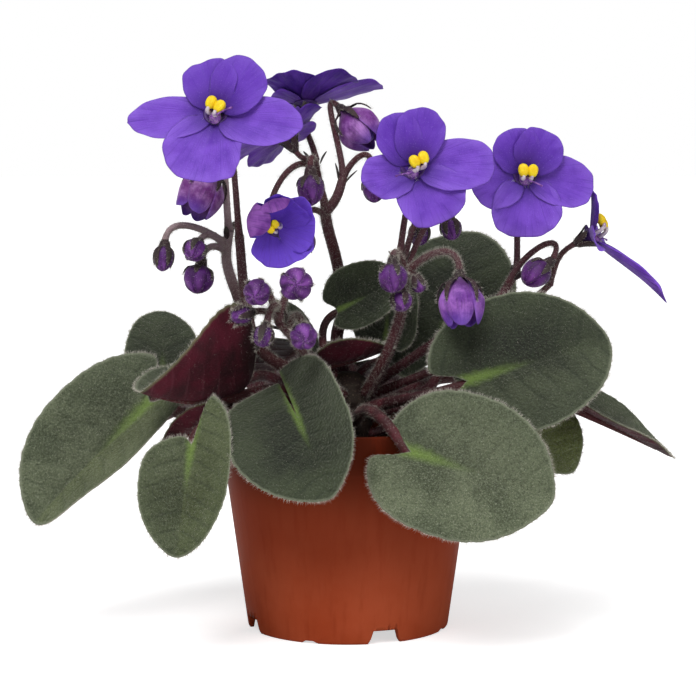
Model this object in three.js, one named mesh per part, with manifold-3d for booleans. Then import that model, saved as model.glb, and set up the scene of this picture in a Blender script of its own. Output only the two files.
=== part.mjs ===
// A flowering african violet growing in a plain plastic nursery pot.
// Millimetres, +Z up. The origin is on the pot's axis at floor level; the front of the plant looks along -Y.

import * as THREE from 'three';
import Module from 'manifold-3d';

const wasm = await Module();
wasm.setup();

// Driving dimensions

const GAP = 0.3;             // clearance left between touching pieces
const POT_HEIGHT = 72;
const POT_FOOT_RADIUS = 35;
const POT_FLARE = 0.14;      // growth of the outer radius per millimetre of height
const POT_WALL = 1.2;
const COLLAR_HEIGHT = 13.5;
const COLLAR_RADIUS = 45.5;
const FLOOR_RISE = 5;        // height of the raised floor above the foot ring
const SOIL_TOP = 63;
const CROWN_RADIUS = 8.5;
const CROWN_BASE = 60;
const CROWN_TOP = 89;
const BLADE_THICKNESS = 1.3;
const PETIOLE_RADIUS = 2.1;
const PETAL_THICKNESS = 0.7;
const TUBE_RADIUS = 1.9;     // short tube behind the petals
const TUBE_LENGTH = 3;
const CALYX_LENGTH = 2.6;

const material = (color, roughness) => new THREE.MeshStandardMaterial({ color, roughness, metalness: 0 });
const PLASTIC = material(0x9c452c, 0.5);
const SOIL = material(0x2b2019, 0.95);
const STEM = material(0x5a3a30, 0.8);
const LEAF = material(0x4b523d, 0.75);
const STALK = material(0x4d2a2a, 0.7);
const PETAL = material(0x6f48b4, 0.6);
const POLLEN = material(0xf0dc20, 0.6);
const STYLE = material(0x7a3a96, 0.5);
const BUD = material(0x5e2a72, 0.6);

const vec = (x, y, z) => new THREE.Vector3(x, y, z);
const rad = THREE.MathUtils.degToRad;
const UP = vec(0, 0, 1);

// Headings are measured about +Z from +X, so the front of the plant is at -90 degrees.
const polar = (heading, reach, height) => vec(
  reach * Math.cos(rad(heading)),
  reach * Math.sin(rad(heading)),
  height,
);
const aim = (yaw, pitch) => polar(yaw, Math.cos(rad(pitch)), Math.sin(rad(pitch)));

// Basic solids

function solid(points, faces) {
  const mesh = new wasm.Mesh({
    numProp: 3,
    vertProperties: new Float32Array(points.flatMap((p) => [p.x, p.y, p.z])),
    triVerts: new Uint32Array(faces.flat()),
  });
  return new wasm.Manifold(mesh);
}

// A body whose rings all have the same number of points, closed by a point at each end.
function ringBody(first, rings, last) {
  const sides = rings[0].length;
  const points = [first, ...rings.flat(), last];
  const at = (row, k) => 1 + row * sides + (k % sides);
  const end = points.length - 1;
  const faces = [];
  for (let k = 0; k < sides; k += 1) {
    faces.push([0, at(0, k + 1), at(0, k)]);
    for (let row = 0; row + 1 < rings.length; row += 1) {
      faces.push([at(row, k), at(row, k + 1), at(row + 1, k)]);
      faces.push([at(row, k + 1), at(row + 1, k + 1), at(row + 1, k)]);
    }
    faces.push([end, at(rings.length - 1, k), at(rings.length - 1, k + 1)]);
  }
  return solid(points, faces);
}

// Profile of [radius, height] pairs turned about +Z; the first and last pairs lie on the axis.
function turned(profile, sides) {
  const rings = profile.slice(1, -1).map(([r, z]) => Array.from({ length: sides }, (_, k) => {
    const a = (2 * Math.PI * k) / sides;
    return vec(r * Math.cos(a), r * Math.sin(a), z);
  }));
  return ringBody(vec(0, 0, profile[0][1]), rings, vec(0, 0, profile.at(-1)[1]));
}

// Round stem along a list of centre points, with one radius for each point.
function stem(path, radii, sides) {
  const last = path.length - 1;
  const tangent = (k) => path[Math.min(k + 1, last)].clone().sub(path[Math.max(k - 1, 0)]).normalize();
  let side = Math.abs(tangent(0).z) < 0.9 ? UP.clone() : vec(1, 0, 0);
  const rings = path.map((centre, k) => {
    const along = tangent(k);
    side = side.clone().addScaledVector(along, -side.dot(along)).normalize();
    const other = along.clone().cross(side);
    return Array.from({ length: sides }, (_, j) => {
      const a = (2 * Math.PI * j) / sides;
      return centre.clone()
        .addScaledVector(side, radii[k] * Math.cos(a))
        .addScaledVector(other, radii[k] * Math.sin(a));
    });
  });
  return ringBody(path[0], rings, path.at(-1));
}

// Round body along an axis: a list of [distance, radius] rings from start to end.
function spindle(start, along, profile, sides) {
  const side = (Math.abs(along.z) < 0.9 ? UP.clone() : vec(1, 0, 0)).cross(along).normalize();
  const other = along.clone().cross(side);
  const rings = profile.map(([distance, radius]) => Array.from({ length: sides }, (_, j) => {
    const a = (2 * Math.PI * j) / sides;
    const r = typeof radius === 'number' ? radius : radius[j % radius.length];
    return start.clone().addScaledVector(along, distance)
      .addScaledVector(side, r * Math.cos(a)).addScaledVector(other, r * Math.sin(a));
  }));
  const first = start.clone().addScaledVector(along, profile[0][0]);
  const last = start.clone().addScaledVector(along, profile.at(-1)[0]);
  return ringBody(first, rings, last);
}

const curve = (points, pieces) => new THREE.CatmullRomCurve3(points).getPoints(pieces);
const bezier = (a, b, c, d, pieces) => new THREE.CubicBezierCurve3(a, b, c, d).getPoints(pieces);
const taper = (from, to, count) => Array.from(
  { length: count },
  (_, k) => from + ((to - from) * k) / (count - 1),
);

const group = new THREE.Group();
group.name = 'potted_african_violet';

// The joined body is thinned to a tenth of a millimetre, and specks left by the joining are dropped.
function addNode(name, body, look) {
  const pieces = body.simplify(0.12).decompose().sort((a, b) => b.volume() - a.volume());
  const data = pieces[0].getMesh();
  const geometry = new THREE.BufferGeometry();
  geometry.setAttribute('position', new THREE.BufferAttribute(new Float32Array(data.vertProperties), 3));
  geometry.setIndex(new THREE.BufferAttribute(new Uint32Array(data.triVerts), 1));
  geometry.computeVertexNormals();
  const mesh = new THREE.Mesh(geometry, look);
  mesh.name = name;
  group.add(mesh);
}

// Pot: a thin flared cup with a deeper collar, a raised floor, notches in the foot ring and drain holes.

const potRadius = (z) => POT_FOOT_RADIUS + POT_FLARE * z;
const collarZ = POT_HEIGHT - COLLAR_HEIGHT;

// Four-sided bar across the foot ring: narrower at the top than at the bottom.
function notch(angle, width, depth) {
  const out = vec(Math.sin(rad(angle)), -Math.cos(rad(angle)), 0);
  const side = vec(-out.y, out.x, 0);
  const corner = (r, s, z) => out.clone().multiplyScalar(r).addScaledVector(side, s).setZ(z);
  const ring = (r) => [
    corner(r, -width / 2, -1),
    corner(r, width / 2, -1),
    corner(r, width / 2 - 1.1, depth),
    corner(r, -width / 2 + 1.1, depth),
  ];
  return ringBody(corner(25, 0, depth / 2), [ring(25), ring(45)], corner(45, 0, depth / 2));
}

function makePot() {
  const inner = (z) => potRadius(z) - POT_WALL;
  let pot = turned([
    [0, FLOOR_RISE],
    [inner(FLOOR_RISE) - 1.5, FLOOR_RISE],
    [POT_FOOT_RADIUS - 1.8, 0],
    [POT_FOOT_RADIUS - 0.4, 0],
    [potRadius(0.6), 0.6],
    [potRadius(collarZ), collarZ],
    [COLLAR_RADIUS - 1.4, collarZ],
    [COLLAR_RADIUS, POT_HEIGHT],
    [COLLAR_RADIUS - 1.4, POT_HEIGHT],
    [inner(collarZ) + 0.9, collarZ + 1],
    [inner(collarZ) - 0.1, collarZ - 1],
    [inner(7) - 0.4, FLOOR_RISE + POT_WALL],
    [0, FLOOR_RISE + POT_WALL],
  ], 40);
  for (let k = 0; k < 4; k += 1) {
    pot = pot.subtract(notch(21 + 90 * k, 11, 4.6));
    pot = pot.subtract(notch(-22 + 90 * k, 5.5, 0.9));
    const a = rad(45 + 90 * k);
    const start = vec(19 * Math.cos(a), 19 * Math.sin(a), FLOOR_RISE - 1);
    pot = pot.subtract(spindle(start, UP, [[0, 3], [POT_WALL + 2, 3]], 10));
  }
  return pot;
}
addNode('pot', makePot(), PLASTIC);

// Soil: the root ball fills the pot and has a shallow dish around the crown.

const soilEdge = (z) => potRadius(z) - POT_WALL - GAP - 0.2;
addNode('soil', turned([
  [0, FLOOR_RISE + POT_WALL + GAP],
  [soilEdge(7) - 2.5, FLOOR_RISE + POT_WALL + GAP],
  [soilEdge(10), 10],
  [soilEdge(collarZ - 2), collarZ - 2],
  [soilEdge(SOIL_TOP) + 0.2, SOIL_TOP - 1.2],
  [30, SOIL_TOP],
  [CROWN_RADIUS + 3, SOIL_TOP + 0.6],
  [CROWN_RADIUS + GAP, SOIL_TOP],
  [CROWN_RADIUS + GAP, CROWN_BASE - GAP],
  [0, CROWN_BASE - GAP],
], 32), SOIL);

// Crown: the short upright stem that every leaf and flower stalk grows from.

const crownProfile = (extra) => [
  [0, CROWN_BASE - extra],
  [CROWN_RADIUS - 1 + extra, CROWN_BASE - extra],
  [CROWN_RADIUS + extra, SOIL_TOP],
  [CROWN_RADIUS + extra, 80],
  [CROWN_RADIUS - 1.5 + extra, 85],
  [3.5 + extra, CROWN_TOP - 1 + extra],
  [0, CROWN_TOP + extra],
];
addNode('crown', turned(crownProfile(0), 16), STEM);
const crownSpace = turned(crownProfile(GAP), 16);

// Where a petiole or stalk starts: just inside the crown's surface, cut back later to fit it.
const rootPoint = ([heading, height]) => {
  const reach = CROWN_RADIUS - 1 - Math.max(0, (height - 80) * 0.35);
  return polar(heading, reach, height);
};

// Leaves: heading, reach and height place the joint of the petiole and the blade about the pot's axis.
// yaw and pitch aim the blade, length is measured from the joint to the tip, roll turns it about that line.
// fold lifts each half from the midrib, lobe is how far each half runs back past the joint, and half scales
// its width. centre is how far along the outline's middle lies, blunt rounds the lobes off and notch is the
// width of the dip between them. root is the heading and height at which the petiole leaves the crown.

const LEAVES = [
  { name: 'outer_left', heading: -179, reach: 68, height: 79, yaw: -148, pitch: -40, length: 60, width: 49,
    roll: -52, droop: 18, fold: [66, 10], lobe: [0.16, 0.3], half: [0.78, 1], root: [-171, 71] },
  { name: 'back_left_upright', heading: 171, reach: 66, height: 79, yaw: 96, pitch: 43, length: 41, width: 27,
    roll: 2, droop: 18, fold: [10, 14], lobe: [0.16, 0.16], half: [1, 1], root: [164, 76], arch: 5 },
  { name: 'folded_left', heading: -167, reach: 36, height: 84, yaw: -134, pitch: 4, length: 48, width: 74,
    roll: 0, droop: -30, fold: [88, 40], lobe: [0, 0.16], half: [1, 0.6], centre: 0.3, root: [-177, 80] },
  { name: 'low_left', heading: -166, reach: 45, height: 76, yaw: -165, pitch: -34, length: 30, width: 34,
    roll: -5, droop: 20, fold: [50, -20], lobe: [0.1, 0.1], half: [1, 0.85], root: [-150, 67], arch: 4 },
  { name: 'front_left', heading: -136, reach: 71, height: 71, yaw: -106, pitch: -64, length: 39, width: 42,
    roll: -16, droop: 10, fold: [36, 30], lobe: [0.56, 0.08], half: [0.75, 0.78], blunt: 1.25, root: [-127, 68],
    arch: -5 },
  { name: 'front', heading: -112, reach: 46, height: 79.5, yaw: -66, pitch: -41, length: 37, width: 49,
    roll: 25, droop: 25, fold: [50, 10], lobe: [0.9, 0.64], half: [0.82, 1.05], centre: 0.36, blunt: 1.1,
    notch: 0.03, root: [-108, 77] },
  { name: 'front_right', heading: -68, reach: 52, height: 68, yaw: -17, pitch: -16, length: 51, width: 50,
    roll: 62, droop: 12, fold: [6, 6], lobe: [0.22, 0.26], half: [1, 1], notch: 0.09, root: [-78, 72],
    arch: 16.5 },
  { name: 'right', heading: -34, reach: 47, height: 88, yaw: 5, pitch: 15, length: 52, width: 52, roll: 58,
    droop: 14, fold: [8, 10], lobe: [0.24, 0.28], half: [1, 1], notch: 0.1, root: [-42, 76] },
  { name: 'low_right', heading: 0, reach: 53, height: 74, yaw: -22, pitch: -34, length: 33, width: 37, roll: 30,
    droop: 25, fold: [15, 15], lobe: [0.16, 0.16], half: [1, 1], root: [-16, 67] },
  { name: 'outer_right', heading: 0, reach: 72.5, height: 81, yaw: 5, pitch: -28.5, length: 47.5, width: 37,
    roll: 6, droop: 4, fold: [22, 17], lobe: [0.16, 0.16], half: [1, 1], root: [6, 73] },
  { name: 'upright_back', heading: 37, reach: 40, height: 88, yaw: 64, pitch: 59, length: 56, width: 51,
    roll: 6, droop: 20, fold: [8, 8], lobe: [0.16, 0.16], half: [1, 1], root: [34, 75] },
  { name: 'young_cupped', heading: -163, reach: 13, height: 91.5, yaw: 3, pitch: 13, length: 29, width: 42,
    roll: 20, droop: -16, fold: [14, 66], lobe: [0.04, 0.12], half: [0.48, 0.9], root: [-160, 87] },
  { name: 'young_inner', heading: 111, reach: 12.2, height: 109, yaw: 8, pitch: 27, length: 27, width: 38,
    roll: 60, droop: -14, fold: [60, 6], lobe: [0.16, 0.16], half: [0.76, 0.55], root: [150, 87] },
  { name: 'young_back', heading: 60, reach: 27, height: 96, yaw: 80, pitch: 66, length: 27, width: 27, roll: 0,
    droop: 10, fold: [30, 30], lobe: [0.16, 0.16], half: [1, 1], root: [50, 86] },
  { name: 'young_left', heading: 160, reach: 15, height: 96, yaw: 166, pitch: 56, length: 21, width: 24,
    roll: 0, droop: 10, fold: [20, 20], lobe: [0.16, 0.16], half: [1, 1], root: [177, 84] },
  { name: 'back_right', heading: 46, reach: 48.5, height: 84.5, yaw: 34, pitch: -13, length: 54, width: 46,
    roll: -10, droop: 20, fold: [10, 10], lobe: [0.16, 0.16], half: [1, 1], root: [50, 70], arch: -2 },
  { name: 'back', heading: 87, reach: 36, height: 88, yaw: 79, pitch: -28, length: 40.5, width: 40, roll: 0,
    droop: 24, fold: [12, 12], lobe: [0.16, 0.16], half: [1, 1], root: [78, 74] },
  { name: 'back_left', heading: 114, reach: 37.5, height: 95, yaw: 118, pitch: -28, length: 45.5, width: 46,
    roll: 6, droop: 24, fold: [12, 12], lobe: [0.16, 0.16], half: [1, 1], root: [112, 76] },
  { name: 'low_back_left', heading: 141, reach: 46, height: 85, yaw: 149, pitch: -26, length: 50, width: 44,
    roll: 8, droop: 20, fold: [12, 12], lobe: [0.1, 0.1], half: [1, 1], root: [152, 69], arch: 3 },
];

function leafFrame(leaf) {
  const along = aim(leaf.yaw, leaf.pitch);
  const face = UP.clone().addScaledVector(along, -along.z).normalize().applyAxisAngle(along, rad(leaf.roll));
  const side = face.clone().cross(along);
  const bend = rad(leaf.droop);
  const arc = (leaf.length * bend) / 2 / Math.sin(bend / 2);
  return { along, face, side, bend, arc, joint: polar(leaf.heading, leaf.reach, leaf.height) };
}

// Point of the bent and folded blade: a runs along the midrib, b across it, lift is off the surface.
function leafPoint(leaf, frame, a, b, lift) {
  const angle = frame.bend * (0.5 - a / frame.arc);
  const scale = frame.arc / frame.bend;
  const x = scale * (Math.sin(frame.bend / 2) - Math.sin(angle));
  const z = scale * (Math.cos(angle) - Math.cos(frame.bend / 2));
  const normal = frame.face.clone().multiplyScalar(Math.cos(angle))
    .addScaledVector(frame.along, -Math.sin(angle));
  const sign = Math.sign(b);
  const fold = rad(leaf.fold[b > 0 ? 0 : 1]);
  const share = Math.abs(b) / (leaf.width / 2);
  const from = 0.45 * fold;
  const to = from + 0.8 * fold * share;
  const reach = leaf.width / 2 / (0.8 * fold);
  const across = sign * reach * (Math.sin(to) - Math.sin(from));
  const rise = reach * (Math.cos(from) - Math.cos(to));
  const tilt = b === 0 ? 0 : to;
  return frame.joint.clone()
    .addScaledVector(frame.along, x)
    .addScaledVector(frame.face, z)
    .addScaledVector(frame.side, across - sign * lift * Math.sin(tilt))
    .addScaledVector(normal, rise + lift * Math.cos(tilt));
}

// Heart outline about a point on the midrib: turn is 0 at the tip and grows towards the left half.
function heart(leaf, arc, turn) {
  const centre = (leaf.centre ?? 0.42) * arc;
  const c = Math.cos(turn);
  const s = Math.sin(turn);
  const half = s > 0 ? 0 : 1;
  const rear = centre + leaf.lobe[half] * arc;
  const off = Math.PI - Math.abs(turn);
  const dip = 1 - (1 - centre / rear) * Math.exp(-((off / (leaf.notch ?? 0.2)) ** 2));
  const peak = 0.95 + 0.05 * Math.exp(-((turn / 0.3) ** 2));
  const reach = c > 0 ? (arc - centre) * c : -rear * Math.abs(c) ** 0.85;
  const power = c < 0 ? leaf.blunt ?? 0.8 : 1;
  const across = (leaf.half[half] * leaf.width / 2) * Math.sign(s) * Math.abs(s) ** power;
  return [centre + reach * dip * peak, across * (1 - 0.06 * c)];
}

function makeBlade(leaf, frame) {
  const spokes = leaf.length > 36 ? 18 : 16;
  const centre = (leaf.centre ?? 0.42) * frame.arc;
  const ring = (share, lift) => Array.from({ length: spokes }, (_, k) => {
    const turn = k <= spokes / 2 ? (2 * Math.PI * k) / spokes : (2 * Math.PI * (k - spokes)) / spokes;
    const [a, b] = heart(leaf, frame.arc, turn);
    const across = Math.abs(b) < 0.01 ? 0 : b * share;
    return leafPoint(leaf, frame, centre + (a - centre) * share, across, lift);
  });
  const t = BLADE_THICKNESS / 2;
  return ringBody(
    leafPoint(leaf, frame, centre, 0, -t),
    [ring(0.35, -t), ring(0.75, -t), ring(1, 0), ring(0.75, t), ring(0.35, t)],
    leafPoint(leaf, frame, centre, 0, t),
  );
}

// The petiole leaves the crown sideways, arches to the joint and dies out as a ridge under the midrib.
function petiolePath(leaf, frame) {
  const [heading, height] = leaf.root;
  const start = rootPoint(leaf.root);
  const end = leafPoint(leaf, frame, 0, 0, -1.2);
  const next = leafPoint(leaf, frame, 0.03 * frame.arc, 0, -1.2);
  const span = start.distanceTo(end);
  const rise = height > 80 ? 1.4 : 0.35;
  const out = polar(heading, 1, rise).normalize();
  const inward = next.sub(end).normalize();
  const path = bezier(
    start,
    start.clone().addScaledVector(out, span * 0.4),
    end.clone().addScaledVector(inward, -span * 0.35).addScaledVector(UP, leaf.arch ?? 0),
    end,
    5,
  );
  path.push(leafPoint(leaf, frame, 0.22 * frame.arc, 0, -1.1));
  path.push(leafPoint(leaf, frame, 0.5 * frame.arc, 0, -0.7));
  return path;
}

for (const leaf of LEAVES) {
  const frame = leafFrame(leaf);
  const size = leaf.length > 36 ? 1 : 0.72;
  const radii = [1.1, 1, 0.95, 0.92, 0.9, 0.9, 0.6, 0.25].map((share) => size * PETIOLE_RADIUS * share);
  const body = makeBlade(leaf, frame).add(stem(petiolePath(leaf, frame), radii, 6)).subtract(crownSpace);
  addNode(`leaf_${leaf.name}`, body, LEAF);
}

// Flowers: at is the throat, heading and pitch aim the face, and each petal is [turn, length, width, lift].
// turn is measured clockwise from the top of the flower; lift raises the petal towards the front.

const FLOWERS = [
  { name: 'front_left', at: [-43, -40, 178.3], heading: -102, pitch: 22,
    petals: [[-14, 18.5, 18.5, 8], [41, 21, 20, 8], [107, 29.5, 18, 2], [192, 24, 28, 0],
      [-101, 30, 15.5, 2]] },
  { name: 'top_back', at: [-15, 22, 181], heading: 96, pitch: 72,
    petals: [[-52, 21, 21, 19], [34, 17.5, 20, 22], [96, 13, 15, 14], [176, 18, 19, 16], [-98, 30, 20, 16]] },
  { name: 'behind_left', at: [-21, 4, 170], heading: 148, pitch: 54,
    petals: [[-22, 16, 15, 10], [48, 15, 14, 10], [124, 22, 20, 2], [188, 18, 19, 0], [-95, 15, 15, 2]] },
  { name: 'centre', at: [22, -14, 160], heading: -92, pitch: 12,
    petals: [[-25, 19.5, 16, 10], [12, 20.5, 17, 10], [88, 28, 18, 3], [148, 21.5, 24, 0],
      [-118, 17.5, 17, 4]] },
  { name: 'right', at: [61, 0, 157.5], heading: -84, pitch: 8,
    petals: [[-22, 16, 17.5, 10], [31, 16.5, 18, 10], [103, 24.5, 18, 2], [180, 22, 25, 0],
      [-109, 19.5, 18, 2]] },
  { name: 'outer_right', at: [84.5, 8, 135.5], heading: -6, pitch: 27,
    petals: [[-14, 17, 12, 27], [14, 17, 12, 25], [100, 16, 9, 12], [180, 35, 17, 24], [-100, 16, 12, 4]] },
  { name: 'half_open', at: [-24.5, -20, 141], heading: -74, pitch: 2,
    petals: [[-20, 12, 15, 55], [32, 12.5, 17, 44], [92, 14, 19, 28], [168, 15.5, 22, 22], [-78, 13, 13, 50]] },
];

function flowerFrame(flower) {
  const face = aim(flower.heading, flower.pitch);
  const top = UP.clone().addScaledVector(face, -face.z).normalize();
  return { face, top, right: top.clone().cross(face), throat: vec(...flower.at) };
}

// Each petal is an ellipse whose long axis starts near the throat; the outline is the outermost petal edge.
function petalReach(petal, turn) {
  const [heading, length, width] = petal;
  const off = rad(turn - heading);
  const centre = 0.56 * length;
  const long = 0.44 * length;
  const wide = width / 2;
  const c = Math.cos(off) / long;
  const s = Math.sin(off) / wide;
  const k = c * c + s * s;
  const h = (c * centre) / long;
  const inside = h * h - k * ((centre / long) ** 2 - 1);
  return Math.cos(off) > 0 && inside > 0 ? (h + Math.sqrt(inside)) / k : 0;
}

function corollaPoint(flower, frame, turn, share, depth) {
  const reaches = flower.petals.map((petal) => Math.max(petalReach(petal, turn), 3.4));
  const weights = reaches.map((reach) => reach ** 6);
  const total = weights.reduce((sum, w) => sum + w, 0);
  const lift = rad(weights.reduce((sum, w, k) => sum + w * flower.petals[k][3], 0) / total);
  const r = 2.2 + (Math.max(...reaches) - 2.2) * share;
  const direction = frame.top.clone().multiplyScalar(Math.cos(rad(turn)))
    .addScaledVector(frame.right, Math.sin(rad(turn)));
  return frame.throat.clone()
    .addScaledVector(direction, 2.2 + (r - 2.2) * Math.cos(lift))
    .addScaledVector(frame.face, (r - 2.2) * Math.sin(lift) - depth);
}

function makeCorolla(flower, frame) {
  const spokes = 25;
  const ring = (share, depth) => Array.from({ length: spokes }, (_, k) => corollaPoint(
    flower, frame, (360 * k) / spokes, share, depth));
  const round = (radius, depth) => Array.from({ length: spokes }, (_, k) => {
    const a = (2 * Math.PI * k) / spokes;
    return frame.throat.clone().addScaledVector(frame.face, -depth)
      .addScaledVector(frame.top, radius * Math.cos(a)).addScaledVector(frame.right, radius * Math.sin(a));
  });
  const t = PETAL_THICKNESS;
  return ringBody(
    frame.throat.clone().addScaledVector(frame.face, -1),
    [round(1.5, 1), ring(0.5, 0), ring(1, t / 2), ring(0.5, t), round(TUBE_RADIUS, t + 0.4),
      round(TUBE_RADIUS - 0.3, TUBE_LENGTH)],
    frame.throat.clone().addScaledVector(frame.face, -TUBE_LENGTH),
  );
}

// Stamens: two fat pollen sacs side by side, held in front of the throat by a short pair of filaments.
function makeStamens(frame) {
  const base = frame.throat.clone().addScaledVector(frame.face, -1 + GAP);
  const sacs = [-1, 1].map((sign) => {
    const middle = base.clone().addScaledVector(frame.face, 3.6)
      .addScaledVector(frame.right, sign * 1.25).addScaledVector(frame.top, 0.9);
    const start = middle.clone().addScaledVector(frame.top, -1.9);
    return spindle(start, frame.top, [[0, 0.8], [1.8, 1.6], [3.7, 0.8]], 6);
  });
  const post = spindle(base, frame.face, [[0, 0.6], [3.6, 0.7]], 5);
  return sacs[0].add(sacs[1]).add(post);
}

// Pistil: a round ovary below the stamens with a slender style that leans to one side.
function makePistil(frame) {
  const base = frame.throat.clone().addScaledVector(frame.face, 0.8).addScaledVector(frame.top, -1.6);
  const ovary = spindle(base, frame.face, [[0, 0.5], [0.6, 0.85], [1.5, 0.8], [2, 0.4]], 6);
  const tip = base.clone().addScaledVector(frame.face, 6).addScaledVector(frame.right, 3.4)
    .addScaledVector(frame.top, -0.6);
  const middle = base.clone().addScaledVector(frame.face, 4).addScaledVector(frame.right, 1.2)
    .addScaledVector(frame.top, -0.6);
  const bottom = base.clone().addScaledVector(frame.face, 1.2);
  const style = stem(curve([bottom, middle, tip], 3), [0.3, 0.28, 0.26, 0.34], 5);
  return ovary.add(style);
}

for (const flower of FLOWERS) {
  const frame = flowerFrame(flower);
  addNode(`corolla_${flower.name}`, makeCorolla(flower, frame), PETAL);
  addNode(`stamens_${flower.name}`, makeStamens(frame), POLLEN);
  if (!['behind_left', 'half_open'].includes(flower.name)) {
    addNode(`pistil_${flower.name}`, makePistil(frame), STYLE);
  }
}

// Buds: at is the middle, heading and pitch say which way the tip points. A tight bud is one with its stalk.

const BUDS = [
  { name: 'left_large', at: [-50, -8, 151], heading: -140, pitch: -60, length: 17.5, width: 15.5 },
  { name: 'top_large', at: [4, 14, 173], heading: -30, pitch: -42, length: 17.5, width: 15 },
  { name: 'top_dark', at: [9, 6, 152], heading: -70, pitch: -80, length: 9.5, width: 8 },
  { name: 'top_hanging', at: [-13, -4, 152], heading: -90, pitch: -80, length: 11, width: 9 },
  { name: 'left_round', at: [-51, -14, 122], heading: -120, pitch: -70, length: 10, width: 10 },
  { name: 'centre_left', at: [-30, -42, 119.5], heading: -100, pitch: -15, length: 9, width: 8.5 },
  { name: 'centre_right', at: [-17, -44, 122.5], heading: -88, pitch: 2, length: 10.5, width: 10.5 },
  { name: 'centre_low', at: [-14.5, -46, 105.3], heading: -86, pitch: -16, length: 9, width: 8.5 },
  { name: 'right_round', at: [15, -24, 123], heading: -95, pitch: -70, length: 10, width: 9.5 },
  { name: 'opening', at: [38, -26, 115], heading: -80, pitch: -76, length: 17, width: 15.5 },
  { name: 'right_arched', at: [65, 1, 123], heading: -160, pitch: -35, length: 11, width: 9.5 },
];
const TIGHT_BUDS = [
  { name: 'behind_half_open', at: [-15, -8, 134], heading: -90, pitch: -80, length: 8, width: 7 },
  { name: 'left_drop', at: [-63, -12, 129], heading: -110, pitch: -75, length: 9, width: 6.5 },
  { name: 'left_upper', at: [-52, -18, 132], heading: -110, pitch: -35, length: 8, width: 7.5 },
  { name: 'centre_side', at: [-35.5, -36, 111.5], heading: -140, pitch: -10, length: 7.5, width: 6 },
  { name: 'centre_small', at: [-28, -42, 105], heading: -110, pitch: -50, length: 7.5, width: 6.5 },
  { name: 'right_small', at: [18, -22, 115], heading: -90, pitch: -60, length: 7, width: 7 },
  { name: 'right_tiny', at: [24, -18, 120], heading: -70, pitch: -50, length: 5, width: 4.5 },
  { name: 'back_dark', at: [36, 8, 138], heading: -70, pitch: -70, length: 8, width: 7 },
  { name: 'back_dark_left', at: [25, 10, 136], heading: -110, pitch: -70, length: 8, width: 7 },
];

function makeBud(bud, sides) {
  const along = aim(bud.heading, bud.pitch);
  const start = vec(...bud.at).addScaledVector(along, -bud.length / 2);
  const profile = [[0, 0.3], [0.15, 0.7], [0.45, 1], [0.8, 0.7], [1, 0.15]];
  return spindle(start, along, profile.map(([d, r]) => [d * bud.length, (r * bud.width) / 2]), sides);
}
for (const bud of BUDS) {
  addNode(`bud_${bud.name}`, makeBud(bud, 9), BUD);
}

// Stalks: a main stem from the crown, then pedicels that each end in a star-shaped calyx under a
// flower or bud. radius is the stem's at its foot and its top, and path is the points it passes through.
// Each entry in holds names the flower or bud, how far along the stem its pedicel leaves, and any extra
// arch. forks are thinner stems that carry on from the top of the main one, with pedicels of their own.

const STALKS = [
  { name: 'front_flower', root: [-136, 84], radius: [2.1, 1.6],
    path: [[-30, -8.5, 97], [-35, -8.5, 114], [-37, -14, 137]], holds: [['front_left', 1]] },
  { name: 'left_cluster', root: [148, 80], radius: [2.1, 1.6],
    path: [[-30, 4, 96], [-39, 0, 117], [-42, -2, 128], [-41, -4, 138]],
    holds: [['left_large', 1], ['left_drop', 0.88], ['left_upper', 0.85], ['left_round', 0.82]] },
  { name: 'top_cluster', root: [106, 87], radius: [2.3, 1.9],
    path: [[-4, 15, 99], [-1.5, 19.5, 111], [-4, 18, 126], [-7.2, 9.5, 139], [-8, 7.5, 144]],
    holds: [['behind_half_open', 0.93]],
    forks: [
      { radius: [1.6, 1.15], path: [[-8.4, 8, 148], [-10.5, 9, 155.5], [-11.3, 13.2, 162]],
        holds: [['top_back', 1], ['behind_left', 0.86], ['half_open', 0.8, 7], ['top_hanging', 0.5, 2]] },
      { radius: [1.8, 1.6], path: [[-5.6, 8, 146.5], [-3.6, 8, 150], [-1.7, 9, 156]],
        holds: [['top_large', 1], ['top_dark', 0.97, 4]] },
    ] },
  { name: 'centre_flower', root: [-8, 81], radius: [1.8, 1.4], path: [[15, 1, 97], [19, 0, 111], [18, -3, 130]],
    holds: [['centre', 1], ['back_dark', 0.85], ['back_dark_left', 0.9]] },
  { name: 'right_flower', root: [44, 81], radius: [1.8, 1.4], path: [[30, 7, 98], [50, 4, 111], [59, 7, 123]],
    holds: [['right', 1], ['right_arched', 0.86, 7]] },
  { name: 'outer_flower', root: [16, 80], radius: [1.6, 1.1], path: [[38, 3, 93], [58, 8, 107], [71, 14, 118]],
    holds: [['outer_right', 1]] },
  { name: 'centre_buds', root: [-100, 81], radius: [1.9, 1.6],
    path: [[-12, -13.5, 90], [-17, -23, 101], [-23, -32, 109]],
    holds: [['centre_left', 1], ['centre_right', 1, 3], ['centre_low', 0.85, 4], ['centre_side', 0.8],
      ['centre_small', 0.8, 5]] },
  { name: 'right_buds', root: [-42, 81], radius: [1.65, 1.35],
    path: [[13, -9.5, 96], [18, -12, 111], [20, -14, 124]],
    holds: [['opening', 1, 2], ['right_round', 1], ['right_small', 0.9], ['right_tiny', 0.95]] },
];

function findTarget(name) {
  const flower = FLOWERS.find((item) => item.name === name);
  if (flower) {
    const frame = flowerFrame(flower);
    const end = frame.throat.addScaledVector(frame.face, -TUBE_LENGTH - GAP);
    return { along: frame.face, end, tight: false };
  }
  const bud = [...BUDS, ...TIGHT_BUDS].find((item) => item.name === name);
  const along = aim(bud.heading, bud.pitch);
  const tight = TIGHT_BUDS.includes(bud);
  const back = bud.length / 2 + (tight ? -0.6 : GAP);
  return { along, end: vec(...bud.at).addScaledVector(along, -back), tight, bud };
}

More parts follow.
